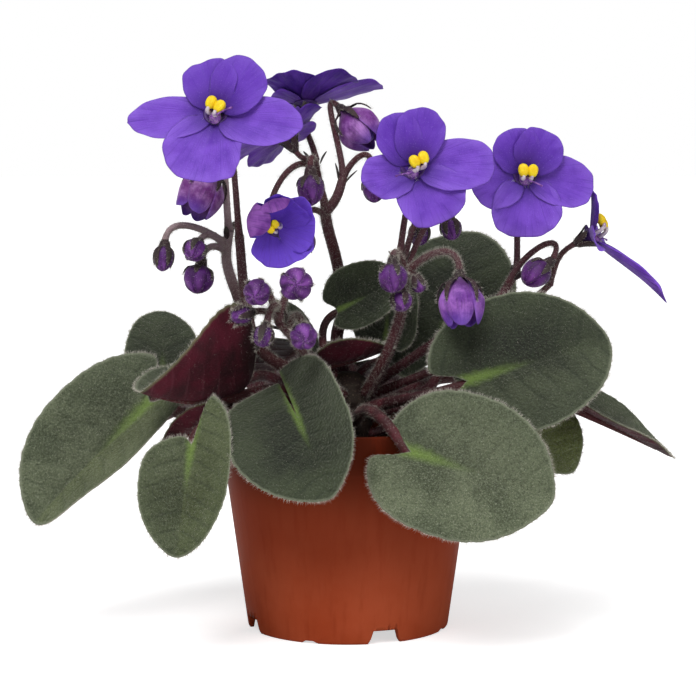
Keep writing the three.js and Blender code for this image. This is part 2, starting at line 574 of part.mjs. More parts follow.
function makePedicel(trunk, name, share, arch = 0) {
  const target = findTarget(name);
  const start = trunk.getPoint(share);
  const along = target.along;
  const foot = target.end.clone().addScaledVector(along, -CALYX_LENGTH);
  const span = start.distanceTo(foot);
  const first = foot.clone().sub(start).normalize().addScaledVector(UP, 0.7).normalize();
  const path = bezier(
    start,
    start.clone().addScaledVector(first, span * 0.45).addScaledVector(UP, arch),
    foot.clone().addScaledVector(along, -span * 0.42).addScaledVector(UP, arch),
    foot,
    5,
  );
  const star = [3.2, 1.9];
  const cup = spindle(foot, along, [[-0.4, 0.9], [CALYX_LENGTH, star]], 10);
  let body = stem(path, taper(0.95, 0.7, 6), 4).add(cup);
  if (target.tight) {
    body = body.add(makeBud(target.bud, 5));
  }
  return body;
}

function makeBranch(start, branch) {
  const trunk = new THREE.CatmullRomCurve3([start, ...branch.path.map((p) => vec(...p))]);
  let body = stem(trunk.getPoints(8), taper(...branch.radius, 9), 6);
  for (const hold of branch.holds) {
    body = body.add(makePedicel(trunk, ...hold));
  }
  for (const fork of branch.forks ?? []) {
    body = body.add(makeBranch(trunk.getPoint(1), fork));
  }
  return body;
}

for (const stalk of STALKS) {
  addNode(`stalk_${stalk.name}`, makeBranch(rootPoint(stalk.root), stalk).subtract(crownSpace), STALK);
}

export default group;
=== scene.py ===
import bpy
import numpy as np
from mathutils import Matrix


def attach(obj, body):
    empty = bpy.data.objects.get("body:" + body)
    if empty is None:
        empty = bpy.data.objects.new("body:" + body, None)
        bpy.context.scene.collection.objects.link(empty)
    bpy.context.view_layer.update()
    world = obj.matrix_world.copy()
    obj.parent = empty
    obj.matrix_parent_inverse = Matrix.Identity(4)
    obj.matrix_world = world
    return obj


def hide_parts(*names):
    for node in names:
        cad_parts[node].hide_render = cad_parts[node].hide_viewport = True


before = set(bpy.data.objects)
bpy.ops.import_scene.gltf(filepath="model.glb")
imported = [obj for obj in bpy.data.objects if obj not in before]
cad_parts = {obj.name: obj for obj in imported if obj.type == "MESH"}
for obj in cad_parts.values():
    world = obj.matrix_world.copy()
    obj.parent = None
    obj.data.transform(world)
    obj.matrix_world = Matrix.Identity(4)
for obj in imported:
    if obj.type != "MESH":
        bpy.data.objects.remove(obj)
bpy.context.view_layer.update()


# Pot: a thin-walled nursery pot, injection moulded in brown-orange polypropylene. A deep collar stiffens
# the rim, the foot ring is notched so that water can leave, and the raised floor has four drain holes.
# Sizes here and below are in millimetres, and become metres as each mesh is made.

POT_HEIGHT = 72.0
POT_FOOT_RADIUS = 35.0
POT_FLARE = 0.14
POT_WALL = 1.2
COLLAR_HEIGHT = 13.5
COLLAR_RADIUS = 45.5
FLOOR_RISE = 5.0
NOTCHES = [(21, 11.0, 4.6), (-22, 5.5, 0.9)]
DRAIN_RADIUS = 3.0
DRAIN_REACH = 19.0


def all_round(count):
    """Evenly spaced turns round a circle, in radians."""
    return np.linspace(0, 2 * np.pi, count, endpoint=False)


def spun(radius, turn, height):
    """Points at each radius from the pot's axis, each turn round it and each height."""
    return np.stack(np.broadcast_arrays(radius * np.cos(turn), radius * np.sin(turn), height), -1)


def capped(first, rows, last):
    """Three numbers for each point of a skin: the first end's, the rows' one by one, and the last end's."""
    return np.concatenate([[first], np.reshape(rows, (-1, 3)), [last]])


def skin(rings, first, last, look=0, place=None, shade=None):
    """Closed skin over a stack of rings: quads join each ring to the next, and a fan of triangles joins the
    end rings to the first and last points. look is one finish or one for each band and fan; place and shade
    hold three numbers for each point, the end points included."""
    rows, sides = rings.shape[:2]
    points = capped(first, rings, last)
    row, side = np.meshgrid(np.arange(rows - 1), np.arange(sides), indexing="ij")

    def at(r, s):
        return 1 + r * sides + s % sides

    quads = np.stack([at(row, side), at(row, side + 1), at(row + 1, side + 1), at(row + 1, side)], -1)
    turn = np.arange(sides)
    foot = np.stack([0 * turn, at(0, turn + 1), at(0, turn)], -1)
    head = np.stack([0 * turn + len(points) - 1, at(rows - 1, turn), at(rows - 1, turn + 1)], -1)
    looks = np.broadcast_to(look, rows + 1)
    nothing = np.zeros((len(points), 3))
    return dict(points=points, quads=quads.reshape(-1, 4), quad_looks=np.repeat(looks[1:-1], sides),
                tris=np.concatenate([foot, head]), tri_looks=np.repeat([looks[0], looks[-1]], sides),
                place=nothing if place is None else place, shade=nothing if shade is None else shade)


def placed(name, data):
    """A new object in the scene, at the origin."""
    thing = bpy.data.objects.new(name, data)
    bpy.context.scene.collection.objects.link(thing)
    return thing


def make_piece(name, shells, finishes, slot, *nodes):
    """One mesh object, in metres, out of closed shells in millimetres; it rides on the root body and stands
    for the named CAD nodes."""
    starts = np.cumsum([0] + [len(shell["points"]) for shell in shells])
    quads = np.concatenate([shell["quads"] + start for shell, start in zip(shells, starts)])
    tris = np.concatenate([shell["tris"] + start for shell, start in zip(shells, starts)])
    mesh = bpy.data.meshes.new(name)
    mesh.vertices.add(starts[-1])
    points = np.concatenate([shell["points"] for shell in shells]) / 1000
    mesh.vertices.foreach_set("co", points.astype(np.float32).ravel())
    mesh.loops.add(quads.size + tris.size)
    mesh.loops.foreach_set("vertex_index", np.concatenate([quads.ravel(), tris.ravel()]).astype(np.int32))
    mesh.polygons.add(len(quads) + len(tris))
    corners = np.concatenate([4 * np.arange(len(quads)), quads.size + 3 * np.arange(len(tris))])
    mesh.polygons.foreach_set("loop_start", corners.astype(np.int32))
    looks = [shell["quad_looks"] for shell in shells] + [shell["tri_looks"] for shell in shells]
    mesh.polygons.foreach_set("material_index", np.concatenate(looks).astype(np.int32))
    mesh.polygons.foreach_set("use_smooth", np.ones(len(mesh.polygons), dtype=bool))
    for field in ("place", "shade"):
        values = np.concatenate([shell[field] for shell in shells]).astype(np.float32)
        mesh.attributes.new(field, "FLOAT_VECTOR", "POINT").data.foreach_set("vector", values.ravel())
    for finish in finishes:
        mesh.materials.append(finish)
    mesh.update(calc_edges=True)
    piece = placed(name, mesh)
    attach(piece, "root")
    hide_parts(*nodes)
    return piece


def tint(code):
    """Linear red, green, blue and alpha of a hexadecimal screen colour."""
    screen = np.array([int(code[k:k + 2], 16) for k in (1, 3, 5)]) / 255
    linear = np.where(screen > 0.04045, ((screen + 0.055) / 1.055) ** 2.4, screen / 12.92)
    return (*linear.tolist(), 1.0)


class Wire:
    """A number, colour or direction on its way through a material's nodes. Wires add up, subtract, multiply
    and divide, with each other or with plain numbers."""

    def __init__(self, socket):
        self.socket = socket

    def maths(self, operation, *others):
        """The operation on this number and the others."""
        return step(self.socket.id_data, "Math", dict(enumerate([self, *others])), operation=operation)

    def __add__(self, other):
        return self.maths("ADD", other)

    def __sub__(self, other):
        return self.maths("SUBTRACT", other)

    def __rsub__(self, other):
        return self.maths("MULTIPLY_ADD", -1.0, other)

    def __mul__(self, other):
        return self.maths("MULTIPLY", other)

    def __truediv__(self, other):
        return self.maths("DIVIDE", other)

    def __abs__(self):
        return self.maths("ABSOLUTE")

    def scaled(self, low, high, out_low=0.0, out_high=1.0):
        """This number carried smoothly from the range low to high onto the range out_low to out_high."""
        sockets = {"Value": self, "From Min": low, "From Max": high, "To Min": out_low, "To Max": out_high}
        return step(self.socket.id_data, "MapRange", sockets, interpolation_type="SMOOTHSTEP")


def step(tree, kind, inputs, output=0, **settings):
    """Adds one node, sets its settings, fills its inputs with numbers, colours or wires, and gives back the
    wire from one of its outputs."""
    node = tree.nodes.new(f"ShaderNode{kind}")
    for setting, value in settings.items():
        setattr(node, setting, value)
    for socket, value in inputs.items():
        if isinstance(value, Wire):
            tree.links.new(value.socket, node.inputs[socket])
        else:
            node.inputs[socket].default_value = tint(value) if isinstance(value, str) else value
    return Wire(node.outputs[output])


def mixed(share, low, high):
    """low coloured over by high, as much as share says."""
    tree = next(value.socket.id_data for value in (share, low) if isinstance(value, Wire))
    return step(tree, "Mix", {0: share, 6: low, 7: high}, output=2, data_type="RGBA")


class Finish:
    """A material in the making. sheen is its weight, roughness and tint; other sockets of its shader are set
    from the words given, with underscores for spaces. Its patterns lie on the piece's own coordinates, in
    metres, or on a stored attribute."""

    def __init__(self, name, roughness, specular, sheen=None, **sockets):
        self.material = bpy.data.materials.new(name)
        self.material.use_nodes = True
        self.tree = self.material.node_tree
        self.shader = self.tree.nodes["Principled BSDF"]
        sockets.update(Roughness=roughness, Specular_IOR_Level=specular)
        if sheen:
            sockets.update(zip(("Sheen_Weight", "Sheen_Roughness", "Sheen_Tint"), sheen))
        for socket, value in sockets.items():
            value = tint(value) if isinstance(value, str) else value
            self.shader.inputs[socket.replace("_", " ")].default_value = value

    def place(self, attribute=None):
        """The three numbers of a point's own coordinates or of an attribute, together."""
        if attribute:
            return step(self.tree, "Attribute", {}, 1, attribute_name=attribute)
        return step(self.tree, "TexCoord", {}, "Object")

    def read(self, attribute=None):
        """The same three numbers, one by one."""
        spot = step(self.tree, "SeparateXYZ", {0: self.place(attribute)})
        return [Wire(socket) for socket in spot.socket.node.outputs]

    def speckle(self, scale, detail=3.0, roughness=0.55, distortion=0.0, stretch=None, attribute=None):
        """Noise from 0 to 1 with about scale lumps in each unit, after stretch has multiplied the place."""
        place = self.place(attribute)
        if stretch:
            place = step(self.tree, "VectorMath", {0: place, 1: stretch}, operation="MULTIPLY")
        return step(self.tree, "TexNoise", {"Vector": place, "Scale": scale, "Detail": detail,
                                            "Roughness": roughness, "Distortion": distortion})

    def made(self, colour, *coats, bumps=(), roughness=None):
        """The finished material: each coat is a share and the colour that it lays over what is there, and
        each bump is a height from 0 to 1 and the metres that the surface seems to stand higher at 1."""
        for share, coat in coats:
            colour = mixed(share, colour, coat)
        wires, under = {"Base Color": colour, "Roughness": roughness}, {}
        for height, depth in bumps:
            sockets = {"Height": height, "Distance": depth, "Strength": 1.0, **under}
            wires["Normal"] = under["Normal"] = step(self.tree, "Bump", sockets)
        for socket, wire in wires.items():
            if wire:
                self.tree.links.new(wire.socket, self.shader.inputs[socket])
        return self.material


def pot_edge(heading):
    """Height of the foot at each heading: zero, or the depth of a notch inside one, with slanting sides."""
    lowest = np.zeros_like(heading)
    for centre, width, depth in NOTCHES:
        off = (heading - centre + 45) % 90 - 45
        across = np.abs(np.sin(np.radians(off))) * POT_FOOT_RADIUS
        inside = np.clip((width / 2 - across) / 1.1, 0, 1)
        lowest = np.maximum(lowest, depth * inside)
    return lowest


def pot_skin():
    """The wall's outline as radius and height, turned about the pot's axis; where the foot is notched, every
    point of the outline that lies lower than the notch is lifted to it and keeps its depth in the wall."""
    def outer(z):
        return POT_FOOT_RADIUS + POT_FLARE * z

    collar = POT_HEIGHT - COLLAR_HEIGHT
    inner = outer(collar) - POT_WALL
    wall = [[outer(z), z] for z in np.linspace(2, collar - 1.1, 22)]
    rim = COLLAR_RADIUS
    outline = np.array([
        [6, FLOOR_RISE], [14, FLOOR_RISE], [18, FLOOR_RISE], [26, FLOOR_RISE], [31.6, FLOOR_RISE],
        [32.6, FLOOR_RISE - 0.3], [33.0, FLOOR_RISE - 1.2], [33.2, 2], [33.3, 0.5], [33.5, 0.0], [34.0, 0.0],
        [34.5, 0.0], [34.8, 0.15], [35.05, 0.5], [35.15, 1.1], *wall,
        [outer(collar) + 0.02, collar - 0.6], [outer(collar) + 0.35, collar - 0.2],
        [rim - 1.95, collar - 0.05], [rim - 1.55, collar + 0.1], [rim - 1.4, collar + 0.5],
        [rim - 1.2, collar + 2.5], [rim - 0.75, collar + 6.5], [rim - 0.3, POT_HEIGHT - 2.5],
        [rim - 0.12, POT_HEIGHT - 0.9], [rim - 0.18, POT_HEIGHT - 0.4], [rim - 0.45, POT_HEIGHT - 0.08],
        [rim - 0.75, POT_HEIGHT], [rim - 1.05, POT_HEIGHT - 0.08], [rim - 1.28, POT_HEIGHT - 0.4],
        [rim - 1.35, POT_HEIGHT - 1], [rim - 1.9, collar + 6], [inner + 1.0, collar + 1.2],
        [inner + 0.3, collar + 0.2], [inner, collar - 1], [inner - 2.6, collar - 20], [inner - 5.2, 20],
        [34.6, 8], [34.2, 6.8], [33.2, FLOOR_RISE + POT_WALL], [24, FLOOR_RISE + POT_WALL],
        [14, FLOOR_RISE + POT_WALL], [6, FLOOR_RISE + POT_WALL],
    ])
    turn = np.linspace(0, 360, 256, endpoint=False)
    edge = pot_edge(turn)
    heading = np.radians(turn - 90)
    radius, height = outline[:, :1] + 0 * turn, outline[:, 1:] + 0 * turn
    foot = (radius > 32.9) & (height < edge)
    outside = foot & (np.arange(len(outline))[:, None] > 12)
    inset = outer(height) - radius
    height = np.where(foot, edge + 0.05 * height, height)
    radius = np.where(outside, outer(height) - inset, radius)
    return skin(spun(radius, heading, height), [0, 0, FLOOR_RISE], [0, 0, FLOOR_RISE + POT_WALL])


def pot_plastic():
    """Satin plastic: faint flow streaks up the wall, a fine moulded grain, and scuffs and dust. Painted shade
    darkens the wall from the foot upward, most in a band under the collar, where the leaves shade it."""
    finish = Finish("pot_plastic", 0.5, 0.02)
    cloud, grain = finish.speckle(34, 4), finish.speckle(2600, 2)
    streak = finish.speckle(330, 4, 0.6, stretch=(1, 1, 0.06))
    scuff = finish.speckle(520, 6, 0.7, stretch=(1, 1, 0.35)).scaled(0.6, 0.78)
    height = cloud * 0.012 + finish.read()[2]
    return finish.made(mixed(cloud.scaled(0.3, 0.7), "#a24426", "#b25334"),
                       # Painted shade: darker from the foot upward, darkest in a band under the collar, where
                       # the leaves shade it.
                       (height.scaled(0.012, 0.048, 0, 0.6), "#7e321e"),
                       (height.scaled(0.045, 0.074, 0, 0.85), "#2e0d05"),
                       (streak.scaled(0.45, 0.75) * 0.24, "#7a260f"), (scuff * 0.14, "#b0694a"),
                       bumps=[(grain, 0.00003), (streak, 0.00008)],
                       roughness=(cloud + scuff * 0.3).scaled(0.3, 0.9, 0.36, 0.56))


def drilled(piece, cutters):
    """piece with each cutter's space taken out of its mesh."""
    for cutter in cutters:
        change = piece.modifiers.new("drain", "BOOLEAN")
        change.operation, change.solver, change.object = "DIFFERENCE", "MANIFOLD", cutter
    graph = bpy.context.evaluated_depsgraph_get()
    cut = bpy.data.meshes.new_from_object(piece.evaluated_get(graph))
    piece.modifiers.clear()
    piece.data = cut
    for cutter in cutters:
        bpy.data.meshes.remove(cutter.data)


def drain_cutter(heading):
    """Upright round bar where a drain hole goes."""
    heights = np.array([[FLOOR_RISE - 2], [FLOOR_RISE + POT_WALL + 2]])
    middle = spun(DRAIN_REACH, np.radians(heading), 0.0)
    ends = middle + [0, 0, 1] * heights
    bar = skin(middle + spun(DRAIN_RADIUS, all_round(32), heights), *ends)
    mesh = bpy.data.meshes.new("drain_cutter")
    mesh.from_pydata((bar["points"] / 1000).tolist(), [], bar["quads"].tolist() + bar["tris"].tolist())
    return placed("drain_cutter", mesh)


pot = make_piece("nursery_pot", [pot_skin()], [pot_plastic()], "plastic", "pot")
drilled(pot, [drain_cutter(45 + 90 * k) for k in range(4)])


# Soil: dark peat potting mix with a few bits of bark, filled to just under the collar and sunk a little
# round the plant. The lump below is the root ball; loose crumbs lie on its top.

SOIL_BASE = 7.0
SOIL_TOP = 63.0
SOIL_GAP = 0.5
CRUMBS = 1100
CRUMB_REACH = 40.5


def unit(vectors):
    """The same directions, each divided by its length."""
    return vectors / np.linalg.norm(vectors, axis=-1, keepdims=True)


def ease(value, low, high):
    """Smooth step: 0 up to low, 1 from high, and 3t squared minus 2t cubed between them."""
    t = np.clip((value - low) / (high - low), 0, 1)
    return t * t * (3 - 2 * t)


def lumps(x, y, z, sizes, seed):
    """Smooth random heights between about -1 and 1. For each size, three sine waves of that wavelength cross
    in seeded directions: first times second, plus second times third, plus third, over 2.4. The sizes are
    averaged."""
    random = np.random.default_rng(seed)
    total = 0.0
    for size in sizes:
        waves = []
        for _ in range(3):
            way = unit(random.normal(size=3)) * 2 * np.pi / size
            waves.append(np.sin(way[0] * x + way[1] * y + way[2] * z + random.uniform(0, 2 * np.pi)))
        total = total + (waves[0] * waves[1] + waves[1] * waves[2] + waves[2]) / 2.4
    return total / len(sizes)


def soil_height(x, y):
    """Height of the soil: level, a low mound near the crown, and lumps of three sizes."""
    reach = np.hypot(x, y)
    mound = 0.6 * np.exp(-(((reach - 12) / 8) ** 2)) - 1.2 * ease(reach, 34, 42)
    return SOIL_TOP - 0.5 + mound + 0.7 * lumps(x, y, 0 * x, [19, 8, 3.5], 11)


def soil_skin():
    """Rings of points that run up the pot's wall and then in to the middle over the lumpy top."""
    turn = all_round(128)
    heights = np.array([SOIL_BASE, 10, 25, 40, 56, 60.5])
    reaches = POT_FOOT_RADIUS + POT_FLARE * heights - POT_WALL - SOIL_GAP
    reaches[0] -= 2.4
    side = spun(reaches[:, None], turn, heights[:, None])
    reach = np.linspace(POT_FOOT_RADIUS + POT_FLARE * SOIL_TOP - POT_WALL - SOIL_GAP, 1.5, 34)[:, None]
    x, y = reach * np.cos(turn), reach * np.sin(turn)
    rings = np.concatenate([side, np.stack([x, y, soil_height(x, y)], -1)])
    return skin(rings, [0, 0, SOIL_BASE], [0, 0, SOIL_TOP - 0.6])


def loose(points, faces, look=0, shade=None):
    """Many small closed lumps: points holds a row of corners for each, and faces the triangles of one."""
    count, corners = points.shape[:2]
    tris = (np.array(faces) + corners * np.arange(count)[:, None, None]).reshape(-1, 3)
    nothing = np.zeros((count * corners, 3))
    return dict(points=points.reshape(-1, 3), quads=np.zeros((0, 4), int), quad_looks=np.zeros(0), tris=tris,
                tri_looks=np.full(len(tris), look), place=nothing, shade=nothing if shade is None else shade)


def crumbs():
    """Loose crumbs: each is an eight-sided lump, stretched and turned at random, half sunk in the soil."""
    random = np.random.default_rng(12)
    reach = CRUMB_REACH * np.sqrt(random.uniform(0.06, 1, CRUMBS))
    turn = random.uniform(0, 2 * np.pi, CRUMBS)
    x, y = reach * np.cos(turn), reach * np.sin(turn)
    size = 0.45 + 1.3 * random.uniform(0, 1, CRUMBS) ** 3
    middle = np.stack([x, y, soil_height(x, y) + 0.25 * size], -1)
    corners = unit(np.array([[1, 0, 0], [0, 1, 0], [-1, 0, 0], [0, -1, 0], [0, 0, 1], [0, 0, -1]], float))
    faces = [[0, 1, 4], [1, 2, 4], [2, 3, 4], [3, 0, 4], [1, 0, 5], [2, 1, 5], [3, 2, 5], [0, 3, 5]]
    frames = np.linalg.qr(random.normal(size=(CRUMBS, 3, 3)))[0]
    frames *= np.sign(np.linalg.det(frames))[:, None, None]
    stretch = random.uniform(0.55, 1.3, (CRUMBS, 6, 1)) * [1.25, 1.0, 0.75]
    points = middle[:, None] + size[:, None, None] * np.einsum("nij,nkj->nki", frames, corners * stretch)
    bark = np.repeat(random.uniform(0, 1, CRUMBS), 6)
    return loose(points, faces, shade=bark[:, None] * [1.0, 0, 0])


def peat():
    """Dark brown peat: colour patches, a rough fibrous grain, and paler bits of bark among the crumbs."""
    finish = Finish("peat", 0.95, 0.2)
    cloud, fibre = finish.speckle(260, 5, 0.6), finish.speckle(1500, 4, 0.7)
    crumb = finish.read("shade")[0]
    return finish.made(mixed(cloud.scaled(0.35, 0.65), "#1d130d", "#3a281c"),
                       (fibre.scaled(0.62, 0.75, 0, 0.6), "#5d4733"), (crumb.scaled(0.86, 0.93), "#6b4a30"),
                       bumps=[(cloud, 0.001), (fibre, 0.0005)])


make_piece("potting_soil", [soil_skin(), crumbs()], [peat()], "soil", "soil")


# Crown: the short fleshy stem in the middle of the plant. Every leaf and flower stalk grows from it, and
# old leaf scars ring its sides in a spiral.

CROWN_RADIUS = 8.5
CROWN_BASE = 60.0
CROWN_TOP = 89.0


def crown_skin():
    """A rounded column, its radius raised by a spiral of scars: the product of one wave up and one round."""
    height = np.linspace(0, 1, 44)[:, None]
    turn = all_round(72)
    z = CROWN_BASE + 0.5 + (CROWN_TOP - CROWN_BASE - 0.7) * height
    radius = (CROWN_RADIUS - 0.5) * np.sqrt(np.clip(1 - ((height - 0.42) / 0.6) ** 4, 0.05, 1))
    scar = np.clip(np.cos(5 * turn + 21 * height), 0, 1) * np.clip(np.cos(34 * height - 2 * turn), 0, 1)
    bumps = 0.25 * lumps(radius * np.cos(turn), radius * np.sin(turn), z, [4, 2], 21)
    radius = radius * (1 + 0.1 * scar) + bumps
    return skin(spun(radius, turn, z), [0, 0, CROWN_BASE + 0.3], [0, 0, CROWN_TOP])


def crown_flesh():
    """Brown-green stem skin, cloudy, with a paler corky grain."""
    finish = Finish("crown_flesh", 0.75, 0.35)
    patch, grain = finish.speckle(240, 4), finish.speckle(1700, 3)
    return finish.made(mixed(patch.scaled(0.35, 0.65), "#24130f", "#30261e"),
                       (grain.scaled(0.55, 0.75, 0, 0.5), "#8b7a62"),
                       bumps=[(patch, 0.0008), (grain, 0.0003)])


make_piece("crown_stem", [crown_skin()], [crown_flesh()], "stem", "crown")


# Leaves: fleshy heart-shaped blades, dark olive and downy above and maroon below, each on a long round
# leaf stem that grows out of the crown. Stem and blade are one growth; the margin carries a fringe of hairs.

def named(names, *values, **others):
    """The values under the names, in order, and the others under their own."""
    return dict(zip(names.split(), values), **others)


# joint is the heading, reach and height where stem and blade meet; aimed is the blade's yaw, pitch and
# roll; length runs from joint to tip; droop bends the blade and fold lifts each half; root is the heading
# and height where the stem leaves the crown; tone lightens each half with painted light and
# shade, for how brightly that half is lit. Some leaves also give lobe, how far each half runs back; half, a
# scale for its width; fresh, how yellow-green it is, partly its own colour and partly painted
# light shining through the blade; arch, a rise in the stem; and centre, notch and blunt, which shape the
# heart.
LEAF = "name joint aimed length width droop fold root tone"
LEAVES = [
    named(LEAF, "outer_left", (-179, 68, 79), (-148, -40, -52), 60, 49, 18, (66, 10), (-171, 71), (0.56, 0.7),
          lobe=(0.16, 0.3), half=(0.78, 1), fresh=(0.3, 0)),
    named(LEAF, "back_left_upright", (171, 66, 79), (96, 43, 2), 41, 27, 18, (10, 14), (164, 76),
          (0.05, 0.05), arch=5),
    named(LEAF, "folded_left", (-167, 36, 84), (-134, 4, 0), 48, 74, -30, (88, 40), (-177, 80), (0.3, 0.3),
          lobe=(0, 0.16), half=(1, 0.6), centre=0.3),
    named(LEAF, "low_left", (-166, 45, 76), (-165, -34, -5), 30, 34, 20, (50, -20), (-150, 67), (0.3, 0.3),
          lobe=(0.1, 0.1), half=(1, 0.85), arch=4),
    named(LEAF, "front_left", (-136, 71, 71), (-106, -64, -16), 39, 42, 10, (36, 30), (-127, 68), (0.3, 0.4),
          lobe=(0.56, 0.08), half=(0.75, 0.78), blunt=1.25, arch=-5, fresh=(0.28, 0.12)),
    named(LEAF, "front", (-112, 46, 79.5), (-66, -41, 25), 37, 49, 25, (50, 10), (-108, 77), (0, 0),
          lobe=(0.9, 0.64), half=(0.82, 1.05), centre=0.36, notch=0.03, blunt=1.1),
    named(LEAF, "front_right", (-68, 52, 68), (-17, -16, 62), 51, 50, 12, (6, 6), (-78, 72), (0.66, 0.86),
          lobe=(0.22, 0.26), notch=0.09, arch=16.5),
    named(LEAF, "right", (-34, 47, 88), (5, 15, 58), 52, 52, 14, (8, 10), (-42, 76), (0, 0.2),
          lobe=(0.24, 0.28), notch=0.1),
    named(LEAF, "low_right", (0, 53, 74), (-22, -34, 30), 33, 37, 25, (15, 15), (-16, 67), (1, 1),
          fresh=(1, 1)),
    named(LEAF, "outer_right", (0, 72.5, 81), (5, -28.5, 6), 47.5, 37, 4, (22, 17), (6, 73), (0.3, 0.3)),
    named(LEAF, "upright_back", (37, 40, 88), (64, 59, 6), 56, 51, 20, (8, 8), (34, 75), (0, 0)),
    named(LEAF, "young_cupped", (-163, 13, 91.5), (3, 13, 20), 29, 42, -16, (14, 66), (-160, 87),
          (0.15, 0.15), lobe=(0.04, 0.12), half=(0.48, 0.9)),
    named(LEAF, "young_inner", (111, 12.2, 109), (8, 27, 60), 27, 38, -14, (60, 6), (150, 87), (0, 0),
          half=(0.76, 0.55)),
    named(LEAF, "young_back", (60, 27, 96), (80, 66, 0), 27, 27, 10, (30, 30), (50, 86), (0, 0)),
    named(LEAF, "young_left", (160, 15, 96), (166, 56, 0), 21, 24, 10, (20, 20), (177, 84), (0.1, 0.1)),
    named(LEAF, "back_right", (46, 48.5, 84.5), (34, -13, -10), 54, 46, 20, (10, 10), (50, 70), (0.5, 0.5),
          arch=-2),
    named(LEAF, "back", (87, 36, 88), (79, -28, 0), 40.5, 40, 24, (12, 12), (78, 74), (0.6, 0.6)),
    named(LEAF, "back_left", (114, 37.5, 95), (118, -28, 6), 45.5, 46, 24, (12, 12), (112, 76), (0.5, 0.5)),
    named(LEAF, "low_back_left", (141, 46, 85), (149, -26, 8), 50, 44, 20, (12, 12), (152, 69), (0.5, 0.5),
          lobe=(0.1, 0.1), arch=3),
]
BLADE_THICKNESS = 1.2
LEAF_STEM_RADIUS = 2.1
BLADE_SPOKES = 104
VEINS = 6.5                 # pairs of side veins in a blade's length
# How many hairs stand on a blade 50 mm long, or on each millimetre of its stem, and their length and width.
FRINGE, UPPER_DOWN, UNDER_DOWN = (1400, 1.5, 0.085), (1300, 0.65, 0.05), (350, 0.9, 0.045)
LEAF_STEM_DOWN = (9, 1.3, 0.06)
UP = np.array([0.0, 0.0, 1.0])
UPPER, UNDER, STEM_SKIN, DOWN = 0, 1, 2, 3    # a leaf's finishes, in order


def aim(yaw, pitch):
    """Direction at yaw degrees round the upright from +X and pitch degrees above the level."""
    yaw, pitch = np.radians(yaw), np.radians(pitch)
    return np.array([np.cos(pitch) * np.cos(yaw), np.cos(pitch) * np.sin(yaw), np.sin(pitch)])


def polar(heading, reach, height):
    """Point at a heading and reach from the pot's axis, and a height."""
    return aim(heading, 0) * reach + UP * height


def root_point(heading, height):
    """Point just inside the crown's side, nearer the axis where the crown narrows above 80."""
    return polar(heading, CROWN_RADIUS - 1 - max(0.0, (height - 80) * 0.35), height)


def bent_sheet(sheet, a, b, lift):
    """Point of a bent and folded sheet: a runs along its middle line, which is an arc of a circle, and b
    across it, where each half curls up on a circle of its own; lift is off the surface."""
    along, face, side = sheet["along"], sheet["face"], sheet["side"]
    bend, arc, width = sheet["bend"], sheet["arc"], sheet["width"]
    angle = bend * (0.5 - a / arc)
    x = arc / bend * (np.sin(bend / 2) - np.sin(angle))
    z = arc / bend * (np.cos(angle) - np.cos(bend / 2))
    normal = face * np.cos(angle)[..., None] - along * np.sin(angle)[..., None]
    fold = np.where(b > 0, *np.radians(sheet["fold"]))
    soft = sheet.get("crease", 1.5)
    away = np.sqrt(b * b + soft * soft) - soft
    reach = width / 2 / (0.8 * fold)
    tilt = 0.45 * fold + 0.8 * fold * np.abs(b) / (width / 2)
    soft_tilt = 0.45 * fold + 0.8 * fold * away / (width / 2)
    across = np.sign(b) * reach * (np.sin(tilt) - np.sin(0.45 * fold))
    rise = reach * (np.cos(0.45 * fold) - np.cos(soft_tilt))
    lean = np.sign(b) * tilt * np.tanh(np.abs(b) / soft)
    return (sheet["start"] + along * x[..., None] + face * z[..., None]
            + side * (across - lift * np.sin(lean))[..., None]
            + normal * (rise + lift * np.cos(lean))[..., None])


def leaf_sheet(leaf):
    """The blade's directions, joint, arc length, bend and fold, as bent_sheet reads them."""
    yaw, pitch, roll = leaf["aimed"]
    along = aim(yaw, pitch)
    face = unit(UP - along[2] * along)
    roll, bend = np.radians([roll, leaf["droop"]])
    face = face * np.cos(roll) + np.cross(along, face) * np.sin(roll)
    arc = leaf["length"] * bend / 2 / np.sin(bend / 2)
    return dict(along=along, face=face, side=np.cross(face, along), bend=bend, arc=arc,
                width=leaf["width"], fold=leaf["fold"], start=polar(*leaf["joint"]))


def heart(leaf, arc, turn):
    """Heart outline about a point on the middle line: forward an ellipse with a blunt point, back a rounder
    one for each lobe, drawn in to the joint by a narrow bell-shaped dip; the margin has faint scallops."""
    centre = leaf.get("centre", 0.42) * arc
    c, s = np.cos(turn), np.sin(turn)
    rear = centre + np.where(s > 0, *leaf.get("lobe", (0.16, 0.16))) * arc
    dip = 1 - (1 - centre / rear) * np.exp(-(((np.pi - np.abs(turn)) / leaf.get("notch", 0.2)) ** 2))
    peak = 0.95 + 0.05 * np.exp(-((turn / 0.3) ** 2))
    reach = np.where(c > 0, (arc - centre) * c, -rear * np.abs(c) ** 0.85)
    half = np.where(s > 0, *leaf.get("half", (1, 1))) * leaf["width"] / 2
    across = half * np.sign(s) * np.abs(s) ** np.where(c < 0, leaf.get("blunt", 0.8), 1)
    scallop = 1 + 0.006 * np.cos(34 * turn) * np.abs(s)
    return centre + reach * dip * peak * scallop, across * (1 - 0.06 * c) * scallop


